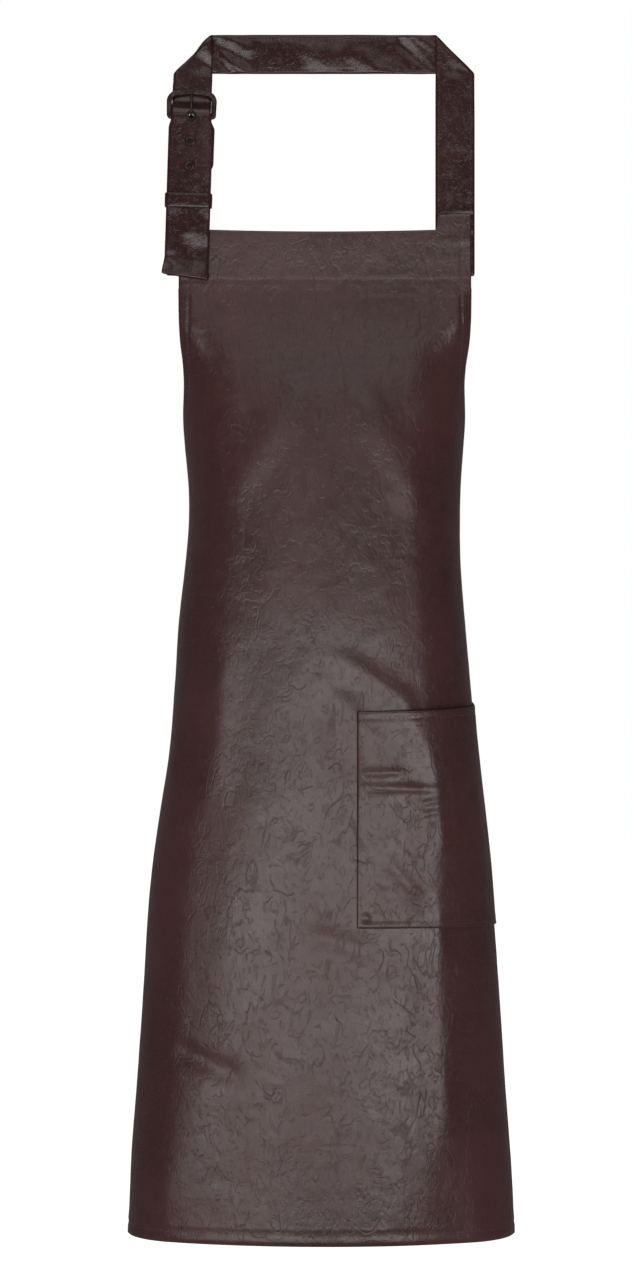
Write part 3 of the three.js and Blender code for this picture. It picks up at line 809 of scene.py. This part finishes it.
def make_pocket():
    def offsets(u, v):
        turned = 1 - smooth(v * POCKET_HEIGHT, 11 * MM, 13 * MM)
        loose = math.sin(math.pi * clamp(u / POCKET_SLACK)) ** 0.5
        return PANEL_THICKNESS / 2, -PANEL_THICKNESS / 2 - turned * 0.8 * MM * loose

    columns, rows = ((110, 110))
    pocket = add_sheet(
        "pocket_patch", pocket_point, columns, rows, offsets, [apron_leather, knit_backing], APRON,
    )
    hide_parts("hip_pocket")

    side_u = POCKET_STITCH / POCKET_WIDTH
    low_v = 1 - POCKET_STITCH / POCKET_HEIGHT
    mouth_v = POCKET_MOUTH_STITCH / POCKET_HEIGHT
    runs = [[(u, lerp(0.01, low_v, share)) for share in shares(120)] for u in (side_u, 1 - side_u)]
    runs += [[(lerp(side_u, 1 - side_u, share), v) for share in shares(120)] for v in (low_v, mouth_v)]
    seams = []
    for run in runs:
        found = [pocket_point(u, v) for u, v in run]
        seams.append([(point + normal * PANEL_THICKNESS / 2, normal) for point, normal in found])
    add_stitches("pocket_stitching", seams, APRON)


make_facing()
make_pocket()


# ---- Ribbons and sweeps ----
class Track:
    """A smooth curve through points (centripetal Catmull-Rom), read by its share of length."""

    def __init__(self, points, steps=400):
        points = [Vector(p) for p in points]
        ends = [points[0] * 2 - points[1]] + points + [points[-1] * 2 - points[-2]]
        fine = []
        for a, b, c, d in zip(ends, ends[1:], ends[2:], ends[3:]):
            t1 = math.sqrt((b - a).length)
            t2 = t1 + math.sqrt((c - b).length)
            t3 = t2 + math.sqrt((d - c).length)
            for k in range(24):
                t = lerp(t1, t2, k / 24)
                ab = a.lerp(b, t / t1)
                bc = b.lerp(c, (t - t1) / (t2 - t1))
                cd = c.lerp(d, (t - t2) / (t3 - t2))
                fine.append(ab.lerp(bc, t / t2).lerp(bc.lerp(cd, (t - t1) / (t3 - t1)), (t - t1) / (t2 - t1)))
        fine.append(points[-1])
        travelled = [0.0]
        for a, b in zip(fine, fine[1:]):
            travelled.append(travelled[-1] + (b - a).length)
        self.length, self.steps, self.places = travelled[-1], steps, []
        k = 0
        for step in range(steps + 1):
            want = self.length * step / steps
            while k < len(fine) - 2 and travelled[k + 1] < want:
                k += 1
            share = (want - travelled[k]) / max(travelled[k + 1] - travelled[k], 1e-12)
            self.places.append(fine[k].lerp(fine[k + 1], clamp(share)))

    def place(self, share):
        at = clamp(share) * self.steps
        k = min(int(at), self.steps - 1)
        return self.places[k].lerp(self.places[k + 1], at - k)

    def along(self, share):
        gap = 1.5 / self.steps
        return (self.place(share + gap) - self.place(share - gap)).normalized()


SEAM_INSET = 3.2 * MM
STRAP_COLUMNS = 26
# A stitch's length, pitch and thread radius on the straps.
STRAP_STITCH = (2.6 * MM, 3.5 * MM, 0.24 * MM)


def crowned(u, thickness, width):
    """Half the thickness of a stitched strap at share u across: thin at the edges and at the seams."""
    edge = min(u, 1 - u) * width
    swell = 0.72 + 0.28 * smooth(edge, 0, 2.2 * MM)
    groove = 0.16 * bell(edge - SEAM_INSET, 0.8 * MM)
    return thickness / 2 * (swell - groove)


def crowned_offsets(thickness, width):
    """The offsets of a stitched strap's two faces, as add_sheet takes them."""
    def offsets(u, v):
        half = crowned(u, thickness, width)
        return half, -half

    return offsets


def seams_on_faces(lines, lift, sides):
    """Seams from lines of (point, normal) pairs, at lift on the given sides of a strap."""
    return [
        [(point + normal * (side * lift), normal * side) for point, normal in line]
        for line in lines for side in sides
    ]


def add_ribbon(name, surface, length, width, thickness, body, seam_faces=(1, -1), rows=None):
    """A strap on surface(u, v) -> (point, normal), with its two rows of thread as a second piece."""
    rows = rows or max(int(length / (1.7 * MM)), 8)

    offsets = crowned_offsets(thickness, width)
    ribbon = add_sheet(name, surface, STRAP_COLUMNS, rows, offsets, [strap_leather], body)
    count = max(int(length / MM), 4)
    down = [lerp(0.004, 0.996, share) for share in shares(count)]
    lines = [[surface(u, v) for v in down] for u in (SEAM_INSET / width, 1 - SEAM_INSET / width)]
    seams = seams_on_faces(lines, crowned(SEAM_INSET / width, thickness, width), seam_faces)
    thread = add_stitches(name + "_stitching", seams, body, *STRAP_STITCH)
    return ribbon, thread


def add_sweep(name, path, sizes, lateral, material, body, closed=True, squareness=2.0, sides=20):
    """A bar or band along a path that lies in the plane across lateral. sizes(share) gives half its
    thickness in that plane and half its width along lateral. squareness 2 is an ellipse, 4 a soft box."""
    count = len(path)
    points = []
    for k, place in enumerate(path):
        ahead = path[(k + 1) % count] if closed or k < count - 1 else place
        behind = path[k - 1] if closed or k else place
        outward = (ahead - behind).normalized().cross(lateral)
        thick, wide = sizes(k / (count if closed else count - 1))
        for i in range(sides):
            angle = 2 * math.pi * i / sides
            c, w = math.cos(angle), math.sin(angle)
            x = math.copysign(abs(c) ** (2 / squareness), c) * thick
            y = math.copysign(abs(w) ** (2 / squareness), w) * wide
            points.append(place + outward * x + lateral * y)
    faces = ring_faces(0, count, sides, closed)
    if not closed:
        faces.append(tuple(range(sides)))
        faces.append(tuple((count - 1) * sides + i for i in range(sides))[::-1])
    return add_piece(name, points, faces, [material], body)


def arc(centre, radius, start, end, steps):
    """Places round part of a circle, as pairs, from one angle to another in degrees."""
    angles = [math.radians(lerp(start, end, share)) for share in shares(steps)]
    return [(centre[0] + radius * math.cos(a), centre[1] + radius * math.sin(a)) for a in angles]


def cut(piece, cutters):
    """Cuts closed meshes out of a piece and removes them."""
    for cutter in cutters:
        modifier = piece.modifiers.new("cut", "BOOLEAN")
        modifier.operation = "DIFFERENCE"
        modifier.solver = "EXACT"
        modifier.object = cutter
        bpy.context.view_layer.objects.active = piece
        bpy.ops.object.modifier_apply(modifier=modifier.name)
        bpy.data.objects.remove(cutter)


def cutter_prism(outline, depth_range):
    """A closed prism through the buckle side's depth, from an outline of (x, z) places there."""
    count = len(outline)
    points = [tilted(x, y, z) for y in depth_range for x, z in outline]
    faces = [tuple(range(count)), tuple(range(count, 2 * count))[::-1]]
    faces += [(i, i + count, (i + 1) % count + count, (i + 1) % count) for i in range(count)]
    mesh = bpy.data.meshes.new("cutter")
    mesh.from_pydata([tuple(p) for p in points], [], faces)
    cutter = bpy.data.objects.new("cutter", mesh)
    bpy.context.collection.objects.link(cutter)
    return cutter


def tilted(x, y, z):
    """A place given in the buckle side's own frame, which leans with the strap."""
    lean, rise = math.sin(STRAP_TILT), math.cos(STRAP_TILT)
    return Vector((LEFT_RUN_X + x * rise + z * lean, y, z * rise - x * lean))


TILTED_ACROSS = tilted(1, 0, 0) - tilted(0, 0, 0)
TILTED_UP = tilted(0, 0, 1) - tilted(0, 0, 0)


# ---- The neck strap ----
FOLD_RADIUS = -RUN_DEPTH / 2
FOLD_SHIFT = math.pi * FOLD_RADIUS / math.sqrt(2)
HALF_STRAP = STRAP_WIDTH / 2
SPAN = RIGHT_RUN_X - LEFT_RUN_X
DIAGONAL = math.sqrt(0.5)
RIGHT_FOLD_LINE = RIGHT_RUN_X + HALF_STRAP - FOLD_SHIFT
LEFT_FOLD_LINE = HALF_STRAP - LEFT_RUN_X - FOLD_SHIFT
KEEPER_MIDDLE = -115.7 * MM
HOLE_HEIGHTS = [-40 * MM, -62.4 * MM, -84.8 * MM]
HOLE_RADIUS = 3.0 * MM
TAIL_WIDENING = 1.13
# Over this length below the left corner, the strap turns from upright to the buckle side's lean.
LEAN_START = 14 * MM

# The buckled side's route, as (depth, height): behind the top bar, over the heel bar, and down.
buckle_track = Track([(0, y, z) for y, z in in_metres([
    (-2.8, 0), (-2.8, -12), (-2.8, -21.5), (-4.7, -27), (-10.4, -34), (-11.8, -38.4), (-11.8, -44),
    (-11.8, -90), (-11.8, -141), (-12.2, -176), (-13.0, -186.5),
])])
BEFORE_BUCKLE = -SEWN_END + SPAN + STRAP_WIDTH
NECK_LENGTH = BEFORE_BUCKLE + buckle_track.length

# Where the strap's two diagonal folds start, measured along its centre line from the sewn end.
RIGHT_FOLD = RIGHT_FOLD_LINE - RIGHT_RUN_X - SEWN_END
LEFT_FOLD = LEFT_FOLD_LINE + RIGHT_RUN_X - SEWN_END
FOLD_LENGTH = math.pi * FOLD_RADIUS * math.sqrt(2)


def fold(x, z, depth, line, outward, facing, back):
    """Folds a flat strip over a diagonal line. facing is the depth direction of its normal and back the
    depth where the folded part lies. Returns x, depth, z, the normal, and whether it is past the fold."""
    past = (x * outward[0] + z * outward[1] - line) * DIAGONAL
    if past <= 0:
        return x, depth, z, Vector((0, facing, 0)), False
    direction = Vector((outward[0] * DIAGONAL, 0, outward[1] * DIAGONAL))
    turn = min(past / FOLD_RADIUS, math.pi)
    rest = max(past - math.pi * FOLD_RADIUS, 0)
    reach = FOLD_RADIUS * math.sin(turn) - past - rest
    new_depth = lerp(depth, back, (1 - math.cos(turn)) / 2)
    normal = Vector((0, facing, 0)) * math.cos(turn) + direction * math.sin(turn)
    return x + direction.x * reach, new_depth, z + direction.z * reach, normal, turn >= math.pi


def neck_strap_point(across, along):
    """A place on the neck strap: across from its centre line, and along from its sewn end at the right
    of the bib, up, over the band, and down through the buckle."""
    x, z = RIGHT_RUN_X + across, SEWN_END + along
    x, y, z, normal, past = fold(x, z, RUN_DEPTH, RIGHT_FOLD_LINE, (1, 1), -1, 0.0)
    if not past:
        return Vector((x, y, z)), normal
    x, y, z, normal, past = fold(x, z, 0.0, LEFT_FOLD_LINE, (-1, 1), 1, RUN_DEPTH)
    if not past or z > 0:
        return Vector((x, y, z)), normal
    share = -z / buckle_track.length
    place, ahead = buckle_track.place(share), buckle_track.along(share)
    widening = lerp(1, TAIL_WIDENING, smooth(-z, 43 * MM, 54 * MM))
    leaning = tilted((x - LEFT_RUN_X) * widening, place.y, place.z)
    to_upright = Vector((x, place.y, place.z)) - tilted(x - LEFT_RUN_X, place.y, place.z)
    return leaning + to_upright * (1 - smooth(-z, 0, LEAN_START)), Vector((0, ahead.z, -ahead.y))


def strap_wrinkle(point):
    """Soft waves in the worn strap, strongest where it is bent at its two corners."""
    on_band = smooth(point.z, -6 * MM, 4 * MM)
    near_corner = bell(abs(point.x) - 86 * MM, 22 * MM) * on_band
    near_bib = bell(point.z + 134 * MM, 9 * MM) * smooth(point.x, 100 * MM, 118 * MM)
    wave = (0.35 + 1.5 * on_band) * MM * rough(point.x * 30 + point.z * 22, point.z * 30, 6.1)
    wave += 0.2 * MM * rough(point.x * 90, point.z * 90, 2.6)
    wave += near_bib * 0.9 * MM * rough(point.x * 20, point.z * 230, 8.1)
    slanted = rough(point.x * 62 + point.z * 74, point.z * 14 - point.x * 12, 4.4)
    return wave + near_corner * 2.6 * MM * slanted


def row_places(start, end, coarse, fine):
    """Distances along the strap for its rows of points: close together where it is folded over."""
    rows, at = [], start
    while at < end - fine:
        rows.append(at)
        before, after = 2 * coarse, FOLD_LENGTH + coarse / 2
        folded = any(first - before < at < first + after for first in (RIGHT_FOLD, LEFT_FOLD))
        at += fine if folded else coarse
    return rows + [end]


def row_slant(at):
    """The rows lie square across the strap, but along the two folds they turn to lie with them."""
    reach, left_reach_after = 70 * MM, 36 * MM

    def turned(first, reach_after):
        rise = smooth(at, first - reach, first - 2 * MM)
        return rise * (1 - smooth(at, first + 8 * MM, first + reach_after))

    return turned(LEFT_FOLD, left_reach_after) - turned(RIGHT_FOLD, reach)


def strap_surface_at(across, along):
    point, normal = neck_strap_point(across, along)
    return point + normal * strap_wrinkle(point), normal


def make_neck_strap():
    joint = BEFORE_BUCKLE + buckle_track.length * -KEEPER_MIDDLE / (buckle_track.length - 5.5 * MM)
    rows = row_places(0, joint, (1.8) * MM, 0.5 * MM)

    def slanted_rows(u, v):
        across = (0.5 - u) * STRAP_WIDTH
        at = rows[round(v * (len(rows) - 1))]
        return strap_surface_at(across, clamp(at + row_slant(at) * across, 0, joint))

    offsets = crowned_offsets(STRAP_THICKNESS, STRAP_WIDTH)
    band = add_sheet(
        "neck_strap_band", slanted_rows, STRAP_COLUMNS, len(rows) - 1, offsets, [strap_leather], APRON,
    )
    around = arc((0, 0), HOLE_RADIUS, 0, 360, 20)[:-1]
    depths = (-20 * MM, -10.2 * MM)
    cut(band, [cutter_prism([(x, z + height) for x, z in around], depths) for height in HOLE_HEIGHTS])
    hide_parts("neck_strap")

    lines = []
    for across in (HALF_STRAP - SEAM_INSET, SEAM_INSET - HALF_STRAP):
        lines.append([strap_surface_at(across, joint * k / 700) for k in range(1, 700)])
    lift = crowned(SEAM_INSET / STRAP_WIDTH, STRAP_THICKNESS, STRAP_WIDTH)
    add_stitches("neck_strap_stitching", seams_on_faces(lines, lift, (1, -1)), APRON, *STRAP_STITCH)
    return joint


def make_strap_tail(joint):
    length = NECK_LENGTH - joint
    slant = 5 * MM / length

    def surface(u, v):
        """The tail ends on a slight slant, and its left corner curls forward."""
        share = v * (1 - slant * (1 - u))
        point, normal = strap_surface_at((u - 0.5) * -STRAP_WIDTH, lerp(joint, NECK_LENGTH, share))
        curl = smooth(v, 0.74, 1.0) * (1 - u) ** 2 * 3.0 * MM
        wave = 0.95 * MM * rough(u * 2, v * 4, 1.2) * smooth(v, 0, 0.3)
        return point + Vector((-curl * 0.7, -curl - wave, 0)), normal

    tail, thread = add_ribbon("strap_tail", surface, length, STRAP_WIDTH, STRAP_THICKNESS, None)
    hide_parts("strap_tip")
    for piece in (tail, thread):
        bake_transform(piece)


make_strap_tail(make_neck_strap())


# ---- The buckle strap, the buckle, the keeper and the eyelets ----
HEEL_Z = -40.5 * MM
BAR_RADIUS = 1.5 * MM
BUCKLE_WIDTH = 45 * MM
BUCKLE_TOP = -17 * MM
HEEL_LOOP_RADIUS = 3.1 * MM
SLOT_HALF_WIDTH = 1.9 * MM
SLOT_BOTTOM, SLOT_TOP = -46 * MM, -30 * MM
EYELET_BORES = [2.4 * MM, 1.75 * MM, 1.75 * MM]


def make_buckle_strap():
    front = HEEL_DEPTH - HEEL_LOOP_RADIUS
    round_bar = arc((HEEL_DEPTH, HEEL_Z), HEEL_LOOP_RADIUS, 180, 0, 8)
    route = in_metres([(-2.8, -182), (-2.8, -150), (-2.8, -139.5), (-7.6, -131)])
    route += [(front, -122 * MM), (front, -90 * MM), (front, -60 * MM), (front, -46 * MM)] + round_bar
    route += in_metres([(-3.2, -45.5), (-6.0, -53.5), (-6.7, -64.5)])
    track = Track([(0, y, z) for y, z in route], 700)

    def surface(u, v):
        place, ahead = track.place(v), track.along(v)
        wave = 0.3 * MM * rough(u * 2, v * 14, 5.5)
        peek = 3.2 * MM * smooth(-place.z, 43 * MM, 52 * MM) * (1 - smooth(-place.z, 82 * MM, 92 * MM))
        point = tilted((u - 0.5) * 1.03 * STRAP_WIDTH + peek, place.y, place.z)
        normal = Vector((0, -ahead.z, ahead.y))
        return point + normal * wave, normal

    strap, _ = add_ribbon(
        "buckle_strap_band", surface, track.length, STRAP_WIDTH, STRAP_THICKNESS, APRON, rows=170,
    )
    corners = [(-1, SLOT_BOTTOM), (1, SLOT_BOTTOM), (1, SLOT_TOP), (-1, SLOT_TOP)]
    slot = [(side * SLOT_HALF_WIDTH, height) for side, height in corners]
    cut(strap, [cutter_prism(slot, (-13 * MM, 2 * MM))])
    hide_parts("buckle_strap")


def make_buckle_frame():
    """A rounded frame with an arched top bar, a little narrower at its heel, and a round heel bar."""
    half = BUCKLE_WIDTH / 2
    side, corner, narrowing, arch = 2.3 * MM, 7.5 * MM, 0.3 * MM, 1.3 * MM
    low, high = HEEL_Z, BUCKLE_TOP - 1.9 * MM
    right = half - side
    outline = [(right - corner * 0.35 - narrowing, low)]
    outline += arc((right - narrowing - 2.5 * MM, low + 2.5 * MM), 2.5 * MM, -60, 0, 5)
    outline += [(right - narrowing / 2, lerp(low, high, 0.45))]
    outline += arc((right - corner, high - corner), corner, 0, 90, 9)
    outline += [(x * (right - corner), high + arch * (1 - x * x)) for x in (0.66, 0.33)]
    mirrored = [(-x, z) for x, z in reversed(outline)]
    outline += [(0, high + arch)] + mirrored
    outline += [(lerp(-right + 5 * MM, right - 5 * MM, share), low) for share in shares(12)]
    path = [tilted(x, HEEL_DEPTH, z) for x, z in outline]
    count = len(path)
    heel_start = (count - 13) / count

    def sizes(share):
        on_heel = smooth(share, heel_start - 0.04, heel_start + 0.02) * (1 - smooth(share, 0.985, 1.0))
        on_heel = max(on_heel, 1 - smooth(share, 0.0, 0.05))
        middle = 0.5 * heel_start
        on_top = bell(share - middle, 0.16)
        return lerp(lerp(2.3, 2.6, on_top), 1.5, on_heel) * MM, lerp(1.5, 1.45, on_heel) * MM

    frame_piece = add_sweep(
        "buckle_frame_bars", path, sizes, Vector((0, 1, 0)), antique_metal, "buckle",
        squareness=2.6, sides=24,
    )
    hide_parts("buckle_frame")


def make_prong():
    """A pin of flat bar, wrapped round the heel bar, and drawn out to a round tip on the top bar."""
    eye_radius = BAR_RADIUS + 0.95 * MM
    route = arc((HEEL_DEPTH, HEEL_Z), eye_radius, -150, 150, 16) + in_metres([
        (-9.4, -39.6), (-11.0, -39.3), (-14.2, -38.7), (-15.9, -36.3), (-15.6, -32.5), (-12.2, -25),
        (-9.3, -18.5), (-8.9, -15.6),
    ])
    track = Track([(0, y, z) for y, z in route], 300)
    eye_share = 2 * math.pi * eye_radius * (300 / 360) / track.length
    places = [track.place(share) for share in shares(90)]
    path = [tilted(0, place.y, place.z) for place in places]

    def sizes(share):
        drawn = smooth(share, eye_share * 0.9, eye_share + 0.12)
        tip = math.sqrt(clamp((1 - share) / 0.03)) if share > 0.97 else 1
        taper, scale = lerp(0.95, 0.85, share), MM * max(tip, 0.25)
        return lerp(0.55, taper, drawn) * scale, lerp(1.5, taper * 1.1, drawn) * scale

    pin = add_sweep(
        "buckle_pin", path, sizes, TILTED_ACROSS, antique_metal, "prong", closed=False,
        squareness=2.4,
    )
    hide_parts("buckle_prong")


def make_keeper():
    """A loop of leather round both straps, its ends joined behind."""
    half_width, corner, front, back = 20.3 * MM, 3.2 * MM, -14.5 * MM, -6.3 * MM
    half_thickness = 1.05 * MM
    flat = half_width - corner
    quarter = [(flat, front + corner), (flat, back - corner)]
    quarter += [(-flat, back - corner), (-flat, front + corner)]
    outline = []
    for (x, y), start in zip(quarter, (-90, 0, 90, 180)):
        outline += arc((x, y), corner, start, start + 90, 7)
        if start == 180:
            inside = shares(14)[1:-1]
            outline += [(lerp(-flat, flat, k), front - 0.35 * MM * math.sin(math.pi * k)) for k in inside]
        if start == 0:
            outline += [(lerp(flat, -flat, share), back) for share in shares(8)[1:-1]]
    middle = KEEPER_MIDDLE
    path = [tilted(x, y, middle) for x, y in outline]
    keeper = add_sweep(
        "keeper_band", path, lambda share: (half_thickness, 6.6 * MM), TILTED_UP, strap_leather, "keeper",
        squareness=4.5, sides=28,
    )
    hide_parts("keeper_loop")
    seams = []
    for height in (middle + 4.6 * MM, middle - 4.6 * MM):
        seam = []
        for share in shares(40):
            x = lerp(3 * MM - half_width, half_width - 3 * MM, share)
            y = front - half_thickness - 0.3 * MM * math.sin(math.pi * share)
            seam.append((tilted(x, y, height), Vector((0, -1, 0))))
        seams.append(seam)
    add_stitches("keeper_stitching", seams, "keeper", 2.2 * MM, 3.0 * MM, 0.2 * MM)


def make_eyelets():
    """Rolled metal eyelets: a barrel through the strap and a rounded flange on its front."""
    face = TAIL_DEPTH - STRAP_THICKNESS / 2
    steps = [math.pi * k / 8 for k in range(9)]
    turns = 32
    outer, barrel, depth_behind = 4.9 * MM, 2.9 * MM, 2.3 * MM
    for index, (height, bore) in enumerate(zip(HOLE_HEIGHTS, EYELET_BORES)):
        points, faces = [], []
        roll = (outer - bore - 0.15 * MM) / 2
        flange = [(outer - roll + roll * math.cos(a), 0.75 * MM * math.sin(a)) for a in steps]
        profile = [(barrel, depth_behind), (barrel, 0.0)] + flange + [(bore, 0.4 * MM), (bore, depth_behind)]
        for k in range(turns):
            angle = 2 * math.pi * k / turns
            for radius, rise in profile:
                depth = face - 0.1 * MM - rise if rise < 1.5 * MM else face + rise
                points.append(tilted(radius * math.cos(angle), depth, height + radius * math.sin(angle)))
        size = len(profile)
        for k in range(turns):
            onward = (k + 1) % turns * size
            for i in range(size):
                j = (i + 1) % size
                faces.append((k * size + i, k * size + j, onward + j, onward + i))
        eyelet = add_piece(
            f"strap_eyelet_{index + 1}", points, faces, [antique_metal], APRON,
        )
        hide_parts(f"eyelet_{index + 1}")


make_buckle_strap()
make_buckle_frame()
make_prong()
make_keeper()
make_eyelets()


# ---- The waist ties and their bow ----
TIE_SEWN_START = 276 * MM
TIE_SEWN_END = 303 * MM
TIE_LEAD = 30 * MM
TIE_SEWN_SHARE = 0.4
KNOT_HALF_WIDTH = 10 * MM
KNOT_DEPTH = wrap(PANEL_HALF_WIDTH, KNOT_Z)[0].y + 8 * MM
BOW_LENGTH = 82 * MM
BOW_WIDTH = 22 * MM
BOW_DROOP = math.radians(24)
TAIL_LENGTH = 330 * MM
TAIL_LEAD = 15 * MM
TAIL_SPLAY = math.radians(7)


def make_waist_tie(word, side):
    lift = PANEL_THICKNESS / 2 + 3 * LAYER_GAP + TIE_THICKNESS / 2

    def on_panel(s, z):
        point, normal = wrap(side * s, z)
        return point + normal * lift, normal

    def surface(u, v):
        z = KNOT_Z + TIE_WIDTH * (0.5 - u) * -side
        if v <= TIE_SEWN_SHARE:
            return on_panel(lerp(TIE_SEWN_START, TIE_SEWN_END, v / TIE_SEWN_SHARE), z)
        start, normal = on_panel(TIE_SEWN_END, z)
        ahead = Vector((-side * normal.y, side * normal.x, 0))
        gathered = KNOT_Z + (z - KNOT_Z) * 0.6
        end = Vector((side * (KNOT_HALF_WIDTH - 5 * MM), KNOT_DEPTH + 2 * MM, gathered))
        lead = start + ahead * TIE_LEAD
        t = (v - TIE_SEWN_SHARE) / (1 - TIE_SEWN_SHARE)
        point = start.lerp(lead, t).lerp(lead.lerp(end, t), t)
        tangent = ((lead - start) * (1 - t) + (end - lead) * t).normalized()
        pleat = 0.9 * MM * math.cos(2 * math.pi * (z - KNOT_Z) / (9 * MM)) * smooth(t, 0.3, 1.0)
        normal = Vector((side * tangent.y, -side * tangent.x, 0)).normalized()
        return point + normal * pleat, normal

    length = length_of([surface(0.5, share)[0] for share in shares(60)])
    tie, _ = add_ribbon(f"{word}_tie_band", surface, length, TIE_WIDTH, TIE_THICKNESS, APRON, seam_faces=(1,))
    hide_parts(f"{word}_waist_tie")


def make_bow_loop(word, side):
    """One loop of the bow: a band that leaves the knot gathered, opens out, and comes back."""
    count = 96
    root = Vector((side * (KNOT_HALF_WIDTH - 4 * MM), KNOT_DEPTH + 13 * MM, KNOT_Z - 2 * MM))
    outward = Vector((side * math.cos(BOW_DROOP), 0, -math.sin(BOW_DROOP)))
    lateral = Vector((side * math.sin(BOW_DROOP), 0, math.cos(BOW_DROOP)))
    length = BOW_LENGTH + 3 * MM
    path = []
    for k in range(count):
        angle = 2 * math.pi * k / count
        reach = length / 2 * (1 - math.cos(angle))
        opened = (BOW_WIDTH / 2 - MM) * math.sin(angle) * smooth(reach, -6 * MM, 40 * MM)
        path.append(root + outward * reach + Vector((0, side * -opened, 0)))

    def sizes(share):
        away = (1 - math.cos(2 * math.pi * share)) / 2
        return 0.95 * MM, lerp(7.5 * MM, TIE_WIDTH / 2, smooth(away, 0.0, 0.55))

    loop = add_sweep(
        f"{word}_bow_band", path, sizes, lateral, strap_leather, APRON, squareness=5.0,
        sides=24,
    )
    around = length_of(path + path[:1])
    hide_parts(f"{word}_bow_loop")


def make_knot():
    """The knot: the tie wrapped tightly over itself, with the pleats that this leaves."""
    rings, turns = 40, 48
    centre = Vector((0, KNOT_DEPTH + 7 * MM, KNOT_Z))
    half_sizes = Vector((KNOT_HALF_WIDTH, 11 * MM, 15 * MM))
    points = [centre + Vector((0, 0, half_sizes.z * 0.93))]
    for j in range(1, rings):
        polar = math.pi * j / rings
        for k in range(turns):
            angle = 2 * math.pi * k / turns
            ring = math.sin(polar)
            direction = Vector((ring * math.cos(angle), ring * math.sin(angle), math.cos(polar)))
            pleats = 0.045 * math.sin(9 * direction.x + 1.7 * math.sin(3 * direction.z))
            band = 0.10 * smooth(abs(direction.x), 0.35, 0.6)
            swell = 0.96 + pleats - band + 0.04 * noise.noise(direction * 2.4)
            points.append(centre + Vector([d * h * swell for d, h in zip(direction, half_sizes)]))
    points.append(centre - Vector((0, 0, half_sizes.z * 0.93)))
    faces = [(0, 1 + k, 1 + (k + 1) % turns) for k in range(turns)]
    faces += ring_faces(1, rings - 1, turns)
    last, low = len(points) - 1, 1 + (rings - 2) * turns
    faces += [(low + k, last, low + (k + 1) % turns) for k in range(turns)]
    knot = add_piece("bow_knot", points, faces, [strap_leather], APRON)
    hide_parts("tie_knot")


def make_tie_tail(word, side):
    """A hanging end of the tie: it leaves the knot gathered, twists gently, and is cut on a slant."""
    root = Vector((side * 5 * MM, KNOT_DEPTH + 5 * MM, KNOT_Z - 8 * MM))
    bend = Vector((side * 12 * MM, KNOT_DEPTH + 3 * MM, KNOT_Z - 13 * MM))
    top = Vector((side * 15 * MM, KNOT_DEPTH, KNOT_Z - TIE_WIDTH / 2 - 5 * MM))
    length = TAIL_LEAD + TAIL_LENGTH
    down = Vector((side * math.sin(TAIL_SPLAY), 0, -math.cos(TAIL_SPLAY)))
    across = Vector((math.cos(TAIL_SPLAY), 0, side * math.sin(TAIL_SPLAY)))

    def surface(u, v):
        slant = (u if side > 0 else 1 - u) * 8 * MM
        reach = v * (length - slant) - TAIL_LEAD
        opened = lerp(0.62, 1.0, smooth(reach, 0, 60 * MM))
        wide = opened * TIE_WIDTH * lerp(0.7, 1, smooth(reach, -TAIL_LEAD, 0))
        sway = 5 * MM * math.sin(reach * 17 + side) * smooth(reach, 20 * MM, 160 * MM)
        twist = 0.34 * math.sin(reach * 12 + 2 * side) * smooth(reach, 10 * MM, 200 * MM)
        pleat = 0.8 * MM * math.cos(2 * math.pi * u * 2.5) * (1 - smooth(reach, 0, 70 * MM))
        turned = across * math.cos(twist) + Vector((0, math.sin(twist), 0))
        normal = turned.cross(down).normalized()
        centre = top + down * reach + Vector((0, sway, 0))
        if reach < 0:
            t = 1 + reach / TAIL_LEAD
            centre = root.lerp(bend, t).lerp(bend.lerp(top, t), t)
        rise = pleat + MM * 0.4 * rough(u, reach * 30, 3)
        return centre + turned * (0.5 - u) * wide + normal * rise, normal

    tail, thread = add_ribbon(f"{word}_tail_band", surface, length, TIE_WIDTH, TIE_THICKNESS, None)
    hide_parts(f"{word}_tie_tail")
    for piece in (tail, thread):
        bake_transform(piece)


for word, side in (("left", -1), ("right", 1)):
    make_waist_tie(word, side)
    make_bow_loop(word, side)
    make_tie_tail(word, side)
make_knot()


# ---- End ----
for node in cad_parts.values():
    is_metal = node.name.startswith(("buckle_frame", "buckle_prong", "eyelet"))
    for index in range(len(node.material_slots)):
        node.material_slots[index].material = antique_metal if is_metal else strap_leather
